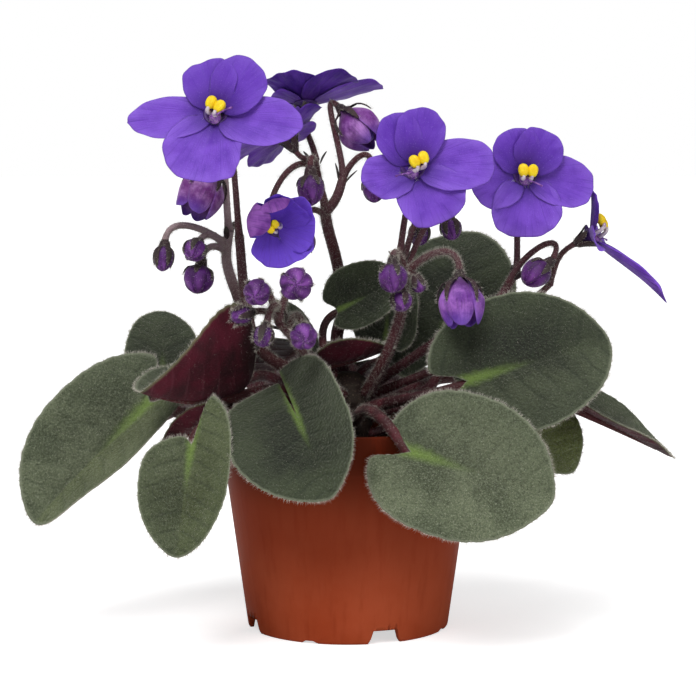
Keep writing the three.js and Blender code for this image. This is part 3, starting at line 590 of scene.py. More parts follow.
def blade_relief(leaf, arc, a, b, share, turn):
    """Height of the upper surface: pads between the side veins, a channel along the middle line, slow waves
    that grow towards the margin, and small lumps. Also gives the side veins' number at each point."""
    random = np.random.default_rng(leaf["seed"])
    size = leaf["length"] / 50
    vein = (a / arc - 0.55 * (np.abs(b) / leaf["width"] * 2) ** 1.25 * leaf["width"] / 2 / arc) * VEINS
    between = np.abs(np.sin(np.pi * vein)) ** 0.6
    inner = ease(np.abs(b), 1, 7 * size) * (1 - ease(share, 0.88, 1))
    pads = 0.42 * size * (between - 0.6) * inner
    channel = -0.75 * size * np.exp(-((b / (1.5 * size)) ** 2)) * (1 - 0.7 * np.clip(a / arc, 0, 1))
    waves = (np.sin(3 * turn + random.uniform(0, 6.3)) + 0.6 * np.sin(5 * turn + random.uniform(0, 6.3)))
    small = 0.16 * lumps(a, b, 0 * a, [6, 3], leaf["seed"])
    return pads + channel * ease(a / arc, -0.1, 0.15) + 0.7 * size * waves * share ** 3 + small, vein


def blade_point(leaf, sheet, turn, share, face):
    """Points of the blade at each turn about its middle and share of the way out to the margin, on its upper
    surface where face is 1 and its underside where face is -1. Also gives a, b and the side veins' number."""
    arc = sheet["arc"]
    centre = leaf.get("centre", 0.42) * arc
    rim_a, rim_b = heart(leaf, arc, turn)
    a, b = centre + (rim_a - centre) * share, rim_b * share
    relief, vein = blade_relief(leaf, arc, a, b, share, turn)
    thick = BLADE_THICKNESS * min(1.0, leaf["length"] / 40) * np.sqrt(1 - share ** 10)
    return bent_sheet(sheet, a, b, relief + face * thick / 2), a, b, vein


def both_faces(shares):
    """Rings of a sheet that is closed at its rim: each ring's share of the way out, over the back and in
    again over the front, and the face that it lies on, -1 at the back, 0 at the rim and 1 in front."""
    share = np.concatenate([shares, [1.0], shares[::-1]])[:, None]
    return share, np.repeat([-1, 0, 1], [len(shares), 1, len(shares)])[:, None]


def blade_skin(leaf, sheet):
    """Rings from the middle of the underside out to the margin and back over the upper surface. The
    underside's veins stand out as ridges where the upper surface has its grooves."""
    turn = (all_round(BLADE_SPOKES) + np.pi) % (2 * np.pi) - np.pi
    share, face = both_faces([*np.linspace(0.05, 0.93, 19), 0.965, 0.985])
    rings, a, b, vein = blade_point(leaf, sheet, turn, share, face)
    ends = [blade_point(leaf, sheet, np.zeros(1), np.zeros(1), side)[0][0] for side in (-1, 1)]
    centre = leaf.get("centre", 0.42)
    place = np.stack([a / sheet["arc"], b / leaf["length"] * 50, vein], -1)
    # Painted light and shade: each half of the blade is painted lighter or darker for how brightly it is lit.
    left, right = leaf["tone"]
    tone = right + (left - right) * ease(b, -6, 6)
    # Yellow-green share: partly the leaf's own colour and partly painted light shining through the blade.
    fresh = np.where(b > 0, *leaf.get("fresh", (0, 0))) + 0.0
    shade = np.stack([share + 0 * a, tone, fresh], -1)
    spot, bare = [centre, 0, centre * VEINS], [0, (left + right) / 2, 0]
    looks = np.repeat([UNDER, UPPER], len(share) // 2 + 1)
    return skin(rings, *ends, looks, capped(spot, place, spot), capped(bare, shade, bare))


def bezier(a, b, c, d, count):
    """Points of the cubic curve from a to d that sets off towards b and arrives from c."""
    t = np.linspace(0, 1, count)[:, None]
    return (1 - t) ** 3 * a + 3 * (1 - t) ** 2 * t * b + 3 * (1 - t) * t * t * c + t ** 3 * d


def wound(share, turn, radius):
    """Three numbers for each point of a round body: the share of the way along it, the turn, the radius."""
    return np.stack(np.broadcast_arrays(share[:, None], turn, radius[:, None]), -1)


def tube(path, radii, sides, look=0, shade=(0, 0, 0)):
    """Round tube along a path, with a ring square to the path at each point. The rings are turned from the
    direction in which the path is flattest. place holds the share along, the turn, and the radius."""
    along = unit(np.gradient(path, axis=0))
    flattest = np.linalg.svd(path - path.mean(axis=0))[2][-1]
    side = unit(flattest - (along @ flattest)[:, None] * along)
    other = np.cross(along, side)
    turn = all_round(sides)[:, None]
    radii = np.broadcast_to(radii, len(path))
    rings = path[:, None] + radii[:, None, None] * (
        side[:, None] * np.cos(turn) + other[:, None] * np.sin(turn))
    place = capped([0, 0, 0], wound(np.linspace(0, 1, len(path)), turn[:, 0], radii), [1, 0, 0])
    return skin(rings, path[0], path[-1], look, place, np.tile(shade, (len(place), 1)))


def hairs(roots, ways, length, width, look, seed, spread=0.25):
    """Fine hairs: each is a closed three-sided spike, a small triangle square to its way with a point at
    length along it. Ways and lengths vary at random."""
    random = np.random.default_rng(seed)
    count = len(roots)
    ways = unit(ways + spread * random.normal(size=ways.shape))
    side = unit(np.cross(ways, random.normal(size=ways.shape)))
    other = np.cross(ways, side)
    turn = all_round(3)[:, None]
    feet = roots[:, None] + width / 2 * (side[:, None] * np.cos(turn) + other[:, None] * np.sin(turn))
    tips = roots + ways * length * random.uniform(0.5, 1.15, count)[:, None]
    spike = [[0, 2, 1], [0, 1, 3], [1, 2, 3], [2, 0, 3]]
    return loose(np.concatenate([feet, tips[:, None]], axis=1), spike, look)


def tube_hairs(path, radii, per_length, length, width, look, seed):
    """Hairs that stand out all round a tube, at random places along it."""
    random = np.random.default_rng(seed)
    run = np.linalg.norm(np.diff(path, axis=0), axis=1).sum()
    count = int(run * per_length)
    spot = random.uniform(0, len(path) - 1.001, count)
    low, part = spot.astype(int), (spot % 1)[:, None]
    middle = path[low] * (1 - part) + path[low + 1] * part
    radius = np.broadcast_to(radii, len(path))[low]
    along = unit(path[low + 1] - path[low])
    out = unit(np.cross(along, random.normal(size=(count, 3))))
    return hairs(middle + out * 0.96 * radius[:, None], out, length, width, look, seed + 1)


def leaf_stem(leaf, sheet):
    """The leaf stem's path and radii: out of the crown, up and over to the joint, then a ridge under the
    blade's middle line that dies out towards the tip."""
    heading, height = leaf["root"]
    start = root_point(heading, height)
    size = 1.0 if leaf["length"] > 36 else 0.72
    steps, ridge_steps = 24, 14     # in the free stem and in the ridge under the blade
    thinning = np.linspace(0.86, 0.16, ridge_steps)
    ridge_a = np.linspace(0, 0.86, ridge_steps) * sheet["arc"]
    ridge = bent_sheet(sheet, ridge_a, 0 * ridge_a, -0.35 - size * LEAF_STEM_RADIUS * thinning)
    inward = unit(ridge[1] - ridge[0])
    out = unit(aim(heading, 0) + UP * (1.4 if height > 80 else 0.35))
    span = np.linalg.norm(ridge[0] - start)
    path = bezier(start, start + out * span * 0.4,
                  ridge[0] - inward * span * 0.35 + UP * leaf.get("arch", 0), ridge[0], steps)
    radii = size * LEAF_STEM_RADIUS * np.concatenate([
        np.interp(np.linspace(0, 1, steps), [0, 0.15, 0.5, 1], [1.15, 1.02, 0.94, 0.9]), thinning[1:]])
    return np.concatenate([path, ridge[1:]]), radii


def blade_hairs(leaf, sheet, seed):
    """A fringe that points outwards from the margin, and short down that stands on either face."""
    random = np.random.default_rng(seed)
    size = leaf["length"] / 50

    def at(turn, share, face):
        return blade_point(leaf, sheet, turn, share + 0 * turn, face)[0]

    count, length, width = FRINGE
    turn = random.uniform(-np.pi, np.pi, int(count * size))
    rim = at(turn, 1.0, 0)
    out = unit(rim - at(turn, 0.95, 0))
    up = unit(at(turn, 0.9, 1) - at(turn, 0.9, -1))
    ways = out + up * random.normal(0.1, 0.35, (len(turn), 1))
    shells = [hairs(rim - 0.1 * out, ways, length, width, DOWN, seed + 1)]
    for face, (count, length, width) in ((1, UPPER_DOWN), (-1, UNDER_DOWN)):
        turn = random.uniform(-np.pi, np.pi, int(count * size))
        share = np.sqrt(random.uniform(0.01, 0.98, len(turn)))
        foot = at(turn, share, face)
        out = unit(foot - at(turn, share, -face))
        shells.append(hairs(foot - 0.05 * out, out, length, width, DOWN, seed + 1 + len(shells), 0.4))
    return shells


def vein_lines(finish, width):
    """Shares that tell how much a point belongs to a side vein and to the middle vein, which narrows and
    fades from the joint to the tip, and its share of the way from joint to tip."""
    a, b, vein = finish.read("place")
    sway = (finish.speckle(160) - 0.5) * 0.4
    near, away = 0.5 - abs((vein + sway).maths("FRACT") - 0.5), abs(b)
    side = near.scaled(0, width, 1, 0) * away.scaled(0.3, 2) * away.scaled(8, 20, 1, 0.1)
    wander = finish.speckle(420) * 1.1 + 0.45
    middle = (away * wander / a.scaled(0, 0.6, 3.6, 1)).scaled(0, 1, 1, 0)
    return side, middle, a


def upper_skin():
    """Dark olive leaf skin, greyed by its down: finely pebbled, darker in the middle and paler at the margin,
    with faint side veins and a middle vein that is bright yellow-green at the joint and soon fades. Painted
    shade darkens the grooves between the pebbles and along the side veins, and painted light and shade make
    each half of the blade lighter or darker for how it is lit."""
    finish = Finish("leaf_upper", 0.7, 0.3, (0.25, 0.45, "#dfe6cf"))
    side, middle, a = vein_lines(finish, 0.16)
    share, tone, fresh = finish.read("shade")
    patch = finish.speckle(62, 4).scaled(0.35, 0.65)
    pebble = step(finish.tree, "TexVoronoi", {"Vector": finish.place(), "Scale": 1050.0, "Randomness": 1.0},
                  feature="SMOOTH_F1")
    fine, down = finish.speckle(1900, 3, 0.75), finish.speckle(4200, 1, 0.5)
    # The pale flecks too are painted lighter where the blade is painted as lit.
    fleck = mixed(tone, "#47523c", "#9aa088")
    mark = middle * a.scaled(0.02, 0.52, 0.85, 0) * fine.scaled(0.25, 0.6, 0.55, 1)
    return finish.made(
        # Lit and shaded copies of the skin, picked for each half of the blade as painted light and shade.
        mixed(tone, mixed(patch, "#11150a", "#2c3320"), mixed(patch, "#4c543d", "#6f775c")),
        # The yellow-green coat is partly the leaf's own colour and partly painted light shining through the
        # blade.
        (share.scaled(0.3, 0.95, 0, 0.22), "#5f6a4e"), (fresh * 0.6, "#6f7c30"),
        # Painted shade in the grooves between the pebbles.
        (pebble.scaled(0.3, 0.8, 0, 0.3), "#1a2013"),
        (fine.scaled(0.53, 0.66, 0, 0.62), fleck), (fine.scaled(0.48, 0.33, 0, 0.6), "#12160c"),
        (down.scaled(0.6, 0.7, 0, 0.3), mixed(0.4, fleck, "#b4baa4")),
        # Painted shade in the side veins' grooves, fainter where the blade is painted as lit.
        (side * tone.scaled(0, 1, 0.5, 0.06), "#222a1c"), (mark, "#748f3f"),
        (share.scaled(0.955, 1, 0, 0.75), "#8b917a"),
        bumps=[(pebble, -0.0005), (fine, 0.0004), (side, -0.00012)])


def under_skin():
    """Maroon underside, browner along the raised veins and green at the margin, and darkest at the joint,
    where the darkening is painted shade.
    """
    finish = Finish("leaf_under", 0.6, 0.25, (0.07, 0.5, "#e6cfd2"))
    side, middle, a = vein_lines(finish, 0.13)
    share = finish.read("shade")[0]
    patch, fine = finish.speckle(70, 5, 0.6), finish.speckle(1500, 3, 0.6)
    return finish.made(
        mixed(patch.scaled(0.35, 0.65), "#2c0810", "#560f24"), (patch.scaled(0.62, 0.8, 0, 0.4), "#661f38"),
        (fine.scaled(0.5, 0.75, 0, 0.3), "#7a3a4a"), (side * 0.22, "#6a3440"), (middle * 0.4, "#5f3433"),
        # Painted shade: darker towards the joint.
        (a.scaled(-0.1, 0.45, 0.75, 0), "#1a0508"), (share.scaled(0.955, 1, 0, 0.6), "#75805c"),
        bumps=[(fine, 0.00025), (side.maths("MAXIMUM", middle), 0.0002)])


def stem_skin(name, low, high, blush):
    """Fleshy stem skin: its colour turns from low at the root to high at the far end, blushed in patches and
    drawn out into fine lengthwise streaks. A dusty stem carries a pale bloom towards its end."""
    finish = Finish(name, 0.55, 0.3, (0.1, 0.4, "#e8dcd2"))
    dusty, forked, _ = finish.read("shade")
    along = finish.read("place")[0].maths("MAXIMUM", forked)
    patch, grain = finish.speckle(120, 4, 0.6), finish.speckle(1900, 2, 0.6)
    fine = finish.speckle(3, 3, 0.6, stretch=(60, 1.6, 0), attribute="place")
    bloom = dusty * along.scaled(0.3, 0.85) * patch.scaled(0.3, 0.6, 0.5, 1)
    return finish.made(mixed(along.scaled(0.3, 0.9), low, high), (patch.scaled(0.42, 0.66, 0, 0.8), blush),
                       (grain.scaled(0.5, 0.75, 0, 0.24), "#86706a"), (bloom, "#b59ea2"),
                       bumps=[(fine, 0.00015), (grain, 0.0002)])


def down_finish():
    """Clear pale plant hair, which catches the light."""
    finish = Finish("plant_down", 0.45, 0.5, (0.2, 0.5, "#ffffff"))
    return finish.made(mixed(finish.speckle(900, 1), "#dcd7ca", "#c3baac"))


plant_down = down_finish()
leaf_finishes = [upper_skin(), under_skin(), stem_skin("leaf_stem", "#300c13", "#4d2122", "#5c1c28"),
                 plant_down]
for number, leaf in enumerate(LEAVES):
    seed = 100 + 10 * number
    leaf["seed"] = seed
    sheet = leaf_sheet(leaf)
    path, radii = leaf_stem(leaf, sheet)
    shells = [blade_skin(leaf, sheet), tube(path, radii, 16, STEM_SKIN), *blade_hairs(leaf, sheet, seed + 1),
              tube_hairs(path, radii, *LEAF_STEM_DOWN, DOWN, seed + 7)]
    make_piece(leaf["name"] + "_leaf", shells, leaf_finishes, "leaf", "leaf_" + leaf["name"])


# Flowers: five thin overlapping petals round a short tube. The two upper petals lie in front of the three
# larger lower ones. Petal cells glitter, painted as pale flecks, and the colour deepens towards the throat.

# at is the throat; aimed is the face's heading and pitch; anthers is their shift right and up and their
# tilt; style is the turn it leans to. Each petal is its turn clockwise from the top, length, width, lift
# towards the front, backward bend, and share of its width kept at the throat, and some add pointedness and
# a sideways sweep of the tip. reach is how far out the sacs stand, sac their size, fold the lift of a
# petal's halves, and young marks a flower that is still opening. curl gives, for a petal that still rolls
# over, its slope at the throat and at the tip, in degrees, and the shares of its length between which it
# turns.
FLOWER = "name at aimed anthers style petals"
FLOWERS = [
    named(FLOWER, "front_left", (-43, -40, 178.3), (-102, 22), (0.3, 0.8, 26), 82,
          [(-14, 18.5, 18.5, 8, 16, 0.9), (41, 21, 20, 8, 12, 0.9), (107, 29.5, 18, 2, 14, 1.0, 0.2, 3),
          (192, 24, 28, 0, 16, 0.9, -0.18), (-101, 30, 15.5, 2, 10, 1.0, 0.9, -2)]),
    named(FLOWER, "top_back", (-15, 22, 181), (96, 72), (0, -3.0, 5), 180, [(-52, 21, 21, 19, 22, 0.9),
          (34, 17.5, 20, 22, 20, 0.9), (96, 13, 15, 14, 25, 0.9), (176, 18, 19, 16, 30, 0.8),
          (-98, 30, 20, 16, 10, 0.8, 0.3)]),
    named(FLOWER, "behind_left", (-21, 4, 170), (148, 54), (0, -1.5, 0), None, [(-22, 16, 15, 10, 20, 0.8),
          (48, 15, 14, 10, 20, 0.8), (124, 22, 20, 2, 26, 0.9), (188, 18, 19, 0, 30, 0.8),
          (-95, 15, 15, 2, 30, 0.9)]),
    named(FLOWER, "centre", (22, -14, 160), (-92, 12), (2.1, 1.2, -24), -118, [(-25, 19.5, 16, 10, 12, 0.95),
          (12, 20.5, 17, 10, 14, 0.95), (88, 28, 18, 3, 14, 1.0), (148, 21.5, 24, 0, 18, 0.9, -0.15),
          (-118, 17.5, 17, 4, 16, 1.0, 0.25, -3)]),
    named(FLOWER, "right", (61, 0, 157.5), (-84, 8), (0.6, -0.1, 4), 128,
          [(-22, 16, 17.5, 10, 16, 0.95, -0.1), (31, 16.5, 18, 10, 18, 0.95),
          (103, 24.5, 18, 2, 14, 1.0, 0.1), (180, 22, 25, 0, 20, 0.95, -0.2),
          (-109, 19.5, 18, 2, 12, 1.0, 0.1)]),
    named(FLOWER, "outer_right", (84.5, 8, 135.5), (-6, 27), (0, 1.6, 40), 120, [(-14, 17, 12, 27, 12, 0.8),
          (14, 17, 12, 25, 12, 0.8), (100, 16, 9, 12, 14, 0.9), (180, 35, 17, 24, 6, 0.9, 0.35),
          (-100, 16, 12, 4, 14, 0.9)], reach=6.2, fold=(42, 42)),
    named(FLOWER, "half_open", (-24.5, -20, 141), (-74, 2), (-2.6, -1.6, -48), None,
          [(-20, 16.5, 15, 38, 10, 1.0), (32, 12.5, 17, 44, -40, 1.0), (92, 14, 19, 28, -20, 1.0),
          (168, 15.5, 22, 22, -16, 0.9, 0.1), (-80, 22.5, 12, 25, 10, 1.0)], reach=6.5, sac=0.72, young=1.0,
          curl={0: (38, 175, 0.56, 0.92), 4: (25, 190, 0.43, 0.82)}),
]
PETAL_THICKNESS = 0.5
PETAL_MIDDLE = 0.56         # share of a petal's length at which its widest part lies
PETAL_LAYERS = [0.6, 1.0, 0.4, 0.0, 0.3]     # how far in front of the lowest petal each lies, in order
PETAL_SPOKES = 60
TUBE_LENGTH = 3.0
FRONT, BACK, THROAT = 0, 1, 2


def flower_axes(flower):
    """Face, top and right-hand directions of a flower, and its throat."""
    face = aim(*flower["aimed"])
    top = unit(UP - face[2] * face)
    return face, top, np.cross(top, face), np.array(flower["at"], float)


def petal_rim(length, width, turn, claw=0.58, point=0.0, sway=0.0):
    """Petal outline about a point on its middle line: a broad oval in front, blunter or more pointed as the
    power of its sine falls or grows, that narrows behind towards the throat; slow waves make it uneven."""
    c, s = np.cos(turn), np.sin(turn)
    uneven = (1 + 0.025 * np.sin(2 * turn + sway) + 0.02 * np.sin(5 * turn + 2 * sway)
              + 0.009 * np.sin(11 * turn + 3 * sway))
    reach = np.where(c > 0, (1 - PETAL_MIDDLE) * np.abs(c) ** 0.92 * uneven, -0.5 * np.abs(c)) * length
    narrow = np.where(c > 0, 1.0, 1 - (1 - claw) * np.abs(c) ** 1.3)
    power = np.where(c > 0, 0.9 + point, 0.72)
    return PETAL_MIDDLE * length + reach, width / 2 * np.sign(s) * np.abs(s) ** power * narrow * uneven


def petal_relief(a, b, share, turn, length, width, seed):
    """Height of a petal's face: a shallow furrow down the middle, faint pleats that fan out, and a frill that
    grows towards the rim as the sum of a slow and a quick wave."""
    random = np.random.default_rng(seed)
    slow, quick, pleat = random.uniform(0, 2 * np.pi, 3)
    front = ease(np.cos(turn), -0.5, 0.5)
    frill = (0.55 * np.sin(3 * turn + slow) + 0.2 * np.sin(9 * turn + quick)) * share ** 3 * front
    fan = b / (a + 4)
    furrow = -0.5 * np.exp(-((b / 1.8) ** 2)) * (1 - ease(a / length, 0.3, 0.9))
    return width / 17 * (frill + furrow + 0.09 * np.sin(26 * fan + pleat) * ease(share, 0.2, 0.6))


def curled_sheet(sheet, a, b, lift):
    """Point of a petal that rolls over: a runs along its middle line, whose slope turns smoothly from one
    angle to another and is added up step by step; b runs across it on a shallow arc; lift is off it."""
    low, high, begins, ends = sheet["curl"]
    run = np.linspace(0, 1.05, 160) * sheet["arc"]
    slope = np.radians(low + (high - low) * ease(run / sheet["arc"], begins, ends))
    outward, upward = (np.interp(a, run, np.cumsum(part) * run[1]) for part in (np.cos(slope), np.sin(slope)))
    turned = np.interp(a, run, slope)[..., None]
    normal = sheet["face"] * np.cos(turned) - sheet["outward"] * np.sin(turned)
    return (sheet["start"] + sheet["outward"] * outward[..., None] + sheet["face"] * upward[..., None]
            + sheet["across"] * b[..., None] + normal * (b * b / (1.6 * sheet["width"]) + lift)[..., None])


def petal_skin(flower, number, seed):
    """Rings from the middle of the petal's back out to its rim and back over its front."""
    face, top, right, throat = flower_axes(flower)
    turn, length, width, lift, bend, claw, point, sweep = (*flower["petals"][number], 0, 0)[:8]
    turn, lift, bend = np.radians([turn, lift, bend])
    outward = top * np.cos(turn) + right * np.sin(turn)
    along = outward * np.cos(lift) + face * np.sin(lift)
    front = face * np.cos(lift) - outward * np.sin(lift)
    arc = length * bend / 2 / np.sin(bend / 2)
    start = throat + face * (PETAL_LAYERS[number] - 0.3)
    sheet = dict(along=along, face=front, side=np.cross(front, along), bend=bend, arc=arc, width=width,
                 fold=flower.get("fold", (14, 14)), start=start, crease=3.0)
    laid = bent_sheet
    if number in flower.get("curl", {}):
        sheet = dict(outward=outward, face=face, across=np.cross(face, outward), arc=arc, width=width,
                     curl=flower["curl"][number], start=start)
        laid = curled_sheet
    around = np.linspace(-np.pi, np.pi, PETAL_SPOKES, endpoint=False)
    rim_a, rim_b = petal_rim(arc, width, around, claw, point, seed)

    def on_petal(share, side):
        a = PETAL_MIDDLE * arc + (rim_a - PETAL_MIDDLE * arc) * share
        b = rim_b * share
        relief = petal_relief(a, b, share, around, arc, width, seed)
        relief = relief + side * PETAL_THICKNESS / 2 * np.sqrt(1 - share ** 6)
        return laid(sheet, a, b + sweep * (a / arc) ** 2, relief), a, b

    share, side = both_faces([*np.linspace(0.08, 0.92, 11), 0.97])
    rings, a, b = on_petal(share, side)
    ends = [on_petal(np.zeros((1, 1)), end)[0][0, 0] for end in (-1, 1)]
    upper, young = float(number < 2), flower.get("young", 0.0)
    place = np.stack([a / arc, b / (a + 4), np.hypot(a, b)], -1)
    shade = np.stack([share + 0 * a, upper + 0 * a, young + 0 * a], -1)
    spot, bare = [PETAL_MIDDLE, 0, PETAL_MIDDLE * arc], [0, upper, young]
    looks = np.repeat([BACK, FRONT], len(share) // 2 + 1)
    return skin(rings, *ends, looks, capped(spot, place, spot), capped(bare, shade, bare))


def square_to(axis, limit=0.9):
    """Two directions square to an axis and to each other; the first is level unless the axis is steep."""
    side = unit(np.cross(UP if abs(axis[2]) < limit else np.array([1.0, 0, 0]), axis))
    return side, np.cross(axis, side)


def about(start, axis, square, far, radius, turn):
    """Points that lie far along an axis and out from it by radius at each turn; square is the two directions
    square to the axis."""
    side, other = square
    return start + axis * far[..., None] + radius[..., None] * (
        side * np.cos(turn)[..., None] + other * np.sin(turn)[..., None])


def around_axis(start, axis, profile, sides, look=0, twist=None, place=None):
    """Round body about an axis: each pair of the profile is a distance along the axis and a radius. twist is
    a grid of numbers that multiply the radius, with one row for each pair and one column for each side."""
    profile = np.asarray(profile, float)
    far, radius = profile[:, :1], profile[:, 1:]
    turn = all_round(sides)
    radius = radius * (np.ones((len(profile), sides)) if twist is None else twist)
    rings = about(start, axis, square_to(axis), far + 0 * turn, radius, turn)
    if place is None:
        place = wound(profile[:, 0] / profile[:, 0].max(), turn, profile[:, 1])
    ends = [start + axis * profile[k, 0] for k in (0, -1)]
    return skin(rings, *ends, look, capped([0, 0, 0], place, [1, 0, 0]))


def throat_skin(flower):
    """The short tube behind the petals, flared in front into a shallow funnel round the stamens."""
    face, _, _, throat = flower_axes(flower)
    profile = [(-TUBE_LENGTH - 0.2, 1.3), (-TUBE_LENGTH + 0.4, 1.7), (-2, 1.9), (-1.2, 2.3), (-0.5, 3.2),
               (0.15, 4.0), (0.7, 4.3), (0.95, 4.1), (0.8, 3.5), (0.35, 2.6), (-0.3, 1.7), (-0.8, 0.8)]
    return around_axis(throat, face, profile, 40, THROAT)


def petal_front():
    """Velvety violet: dark at the throat, bluer and paler at the rim, with fanned veins, cloudy patches and
    the glitter of single cells as pale painted glints."""
    finish = Finish("petal_front", 0.55, 0.3, (0.25, 0.35, "#cdb8ff"))
    away = finish.read("place")[2]
    share, upper, young = finish.read("shade")
    patch, cells = finish.speckle(130, 4), finish.speckle(2600, 2, 0.7)
    veins = finish.speckle(1, 3, 0.6, 0.3, (1.6, 34, 0), "place")
    halo = away.scaled(2.5, 14, 0.85, 0) * young.scaled(0, 1, 1, 0.3)
    return finish.made(mixed(patch.scaled(0.3, 0.7), "#6234b0", "#7747c6"),
                       (share.scaled(0.55, 1, 0, 0.5), "#8a60d6"), (upper * 0.55, "#5624a8"),
                       (young * 0.7, "#7048e2"), (veins.scaled(0.52, 0.68, 0, 0.35), "#4b2599"),
                       # Painted glints: pale flecks on single cells.
                       (halo, "#38127c"), (cells.scaled(0.6, 0.74, 0, 0.3), "#a78be6"),
                       bumps=[(cells, 0.00012), (veins, -0.00018)])


def petal_back():
    """The petal's back: a darker, redder violet with veins that stand out towards the tube, darkest on the
    two upper petals and rosy on a young flower."""
    finish = Finish("petal_back", 0.6, 0.3, (0.3, 0.4, "#d2bdf5"))
    away = finish.read("place")[2]
    _, upper, young = finish.read("shade")
    patch, cells = finish.speckle(140, 4), finish.speckle(2200, 2, 0.7)
    cloud = patch.scaled(0.3, 0.7)
    veins = finish.speckle(1, 3, 0.6, 0.3, (1.6, 30, 0), "place")
    return finish.made(mixed(cloud, "#6531b2", "#8756d2"), (upper, mixed(cloud, "#431988", "#6233ab")),
                       (young, mixed(patch.scaled(0.35, 0.65), "#74309a", "#a866c8")),
                       (veins.scaled(0.5, 0.66, 0, 0.4), "#33115f"), (away.scaled(3, 12, 0.5, 0), "#3f1257"),
                       # Painted glints: pale flecks on single cells.
                       (cells.scaled(0.6, 0.74, 0, 0.25), "#9777c9"),
                       bumps=[(veins, 0.0002), (cells, 0.0001)])


def clouded(name, roughness, specular, scale, detail, between, low, high):
    """A finish that turns in clouds from the colour low to the colour high as noise runs between two values,
    and stands up a little where the noise is high."""
    finish = Finish(name, roughness, specular)
    patch = finish.speckle(scale, detail)
    return finish.made(mixed(patch.scaled(*between), low, high), bumps=[(patch, 0.0002)])


dark_throat = clouded("throat_flesh", 0.5, 0.4, 700, 3, (0.35, 0.65), "#2f1550", "#43206b")
petal_finishes = [petal_front(), petal_back(), dark_throat]
for number, flower in enumerate(FLOWERS):
    shells = [petal_skin(flower, k, 300 + 10 * number + k) for k in range(5)] + [throat_skin(flower)]
    make_piece(flower["name"] + "_petals", shells, petal_finishes, "petal", "corolla_" + flower["name"])


# Stamens and pistils: two fat yellow pollen sacs joined side by side on short white filaments, and below
# them a round downy ovary whose slender purple style leans out past the sacs.

def sac_skin(middle, up, out, size, look):
    """One pollen sac: an egg whose radius follows a squared circle from end to end, with a groove pressed
    down its outward side as a narrow bell-shaped dip."""
    share = np.linspace(-0.985, 0.985, 17)
    turn = all_round(22)
    side = np.cross(up, out)
    radius = (1 - np.abs(share) ** 2.4) ** 0.5
    groove = 1 - 0.3 * np.exp(-((np.cos(turn / 2) / 0.2) ** 2)) * radius[:, None]
    x = np.sin(turn) * radius[:, None] * groove
    y = -np.cos(turn) * radius[:, None] * groove
    rings = (middle + up * (size[2] * share)[:, None, None] + side * (size[0] * x)[..., None] * -1
             + out * (size[1] * y)[..., None])
    return skin(rings, middle - up * size[2] * 0.995, middle + up * size[2] * 0.995, look)


def stamen_shells(flower):
    """Sacs that stand in front of the throat, and the filaments that carry them."""
    face, top, right, throat = flower_axes(flower)
    shift_right, shift_up, tilt = flower["anthers"]
    tilt = np.radians(tilt)
    across = right * np.cos(tilt) - top * np.sin(tilt)
    up = top * np.cos(tilt) + right * np.sin(tilt)
    size = flower.get("sac", 1.0)
    base = throat - face * 0.6
    centre = throat + face * flower.get("reach", 3.4) + right * shift_right + top * (shift_up + 0.9)
    shells = []
    for hand in (-1, 1):
        middle = centre + across * hand * 1.65 * size
        lean = unit(up + across * hand * 0.12)
        shells.append(sac_skin(middle, lean, unit(face + across * hand * 0.25),
                               (1.85 * size, 1.7 * size, 2.3 * size), 0))
        path = bezier(base + across * hand * 0.7, base + face * 2.4 + across * hand * 1.9 - up * 1.6,
                      middle - lean * 4.2 * size + face * 1.1, middle - lean * 1.7 * size + face * 0.2, 9)
        shells.append(tube(path, size * np.linspace(0.9, 0.62, 9), 10, 1))
    return shells


def pistil_shells(flower):
    """The ovary under the sacs, its down, and the style that leans out to one side."""
    face, top, right, throat = flower_axes(flower)
    way = np.radians(flower["style"])
    lean = top * np.cos(way) + right * np.sin(way)
    base = throat - face * 0.4 - top * 2.2
    ovary = [(0, 0.9), (0.5, 1.6), (1.2, 2.0), (2.1, 2.0), (2.8, 1.5), (3.2, 0.8), (3.35, 0.4)]
    tip = throat + face * 4.6 + lean * 6.6 - top * 0.8
    steps = 14
    path = bezier(base + face * 2.9, base + face * 4.4 + lean * 1.2, tip - lean * 2.4 - face * 0.4, tip,
                  steps)
    radii = np.interp(np.linspace(0, 1, steps), [0, 0.2, 0.85, 0.93, 1], [0.42, 0.27, 0.24, 0.42, 0.36])
    random = np.random.default_rng(41)
    out = unit(random.normal(size=(160, 3)) + face * 0.6)
    down = hairs(base + face * 1.6 + out * 1.85, out, 0.7, 0.06, 1, 42)
    return [around_axis(base, face, ovary, 20, 0), tube(path, radii, 10, 0), down]


def pollen_skin():
    """Bright yellow sac skin, powdery, and deeper yellow in patches."""
    finish = Finish("pollen_sac", 0.5, 0.35, Subsurface_Weight=0.1, Subsurface_Scale=0.001)
    patch, grains = finish.speckle(500), finish.speckle(3800, 2, 0.7)
    return finish.made(mixed(patch.scaled(0.35, 0.7), "#f6d90f", "#f0c400"),
                       (grains.scaled(0.55, 0.75, 0, 0.5), "#fff07a"),
                       bumps=[(patch, 0.0002), (grains, 0.0001)])


# Glassy off-white filaments with a violet flush; purple ovary and style, pinker in patches.
glassy_filament = clouded("filament", 0.35, 0.5, 600, 2, (0.4, 0.75), "#cfc3c8", "#94709f")
purple_pistil = clouded("pistil_skin", 0.45, 0.45, 620, 3, (0.38, 0.68), "#5d2a83", "#a06bb8")
stamen_finishes = [pollen_skin(), glassy_filament]
pistil_finishes = [purple_pistil, plant_down]
for flower in FLOWERS:
    make_piece(flower["name"] + "_pollen_sacs", stamen_shells(flower), stamen_finishes, "pollen",
               "stamens_" + flower["name"])
    if flower["style"] is not None:
        make_piece(flower["name"] + "_style", pistil_shells(flower), pistil_finishes, "style",
                   "pistil_" + flower["name"])


# Buds: the petals are still rolled round each other in a spiral. Bigger ones have begun to part, and their
# petals stand like a tulip's.

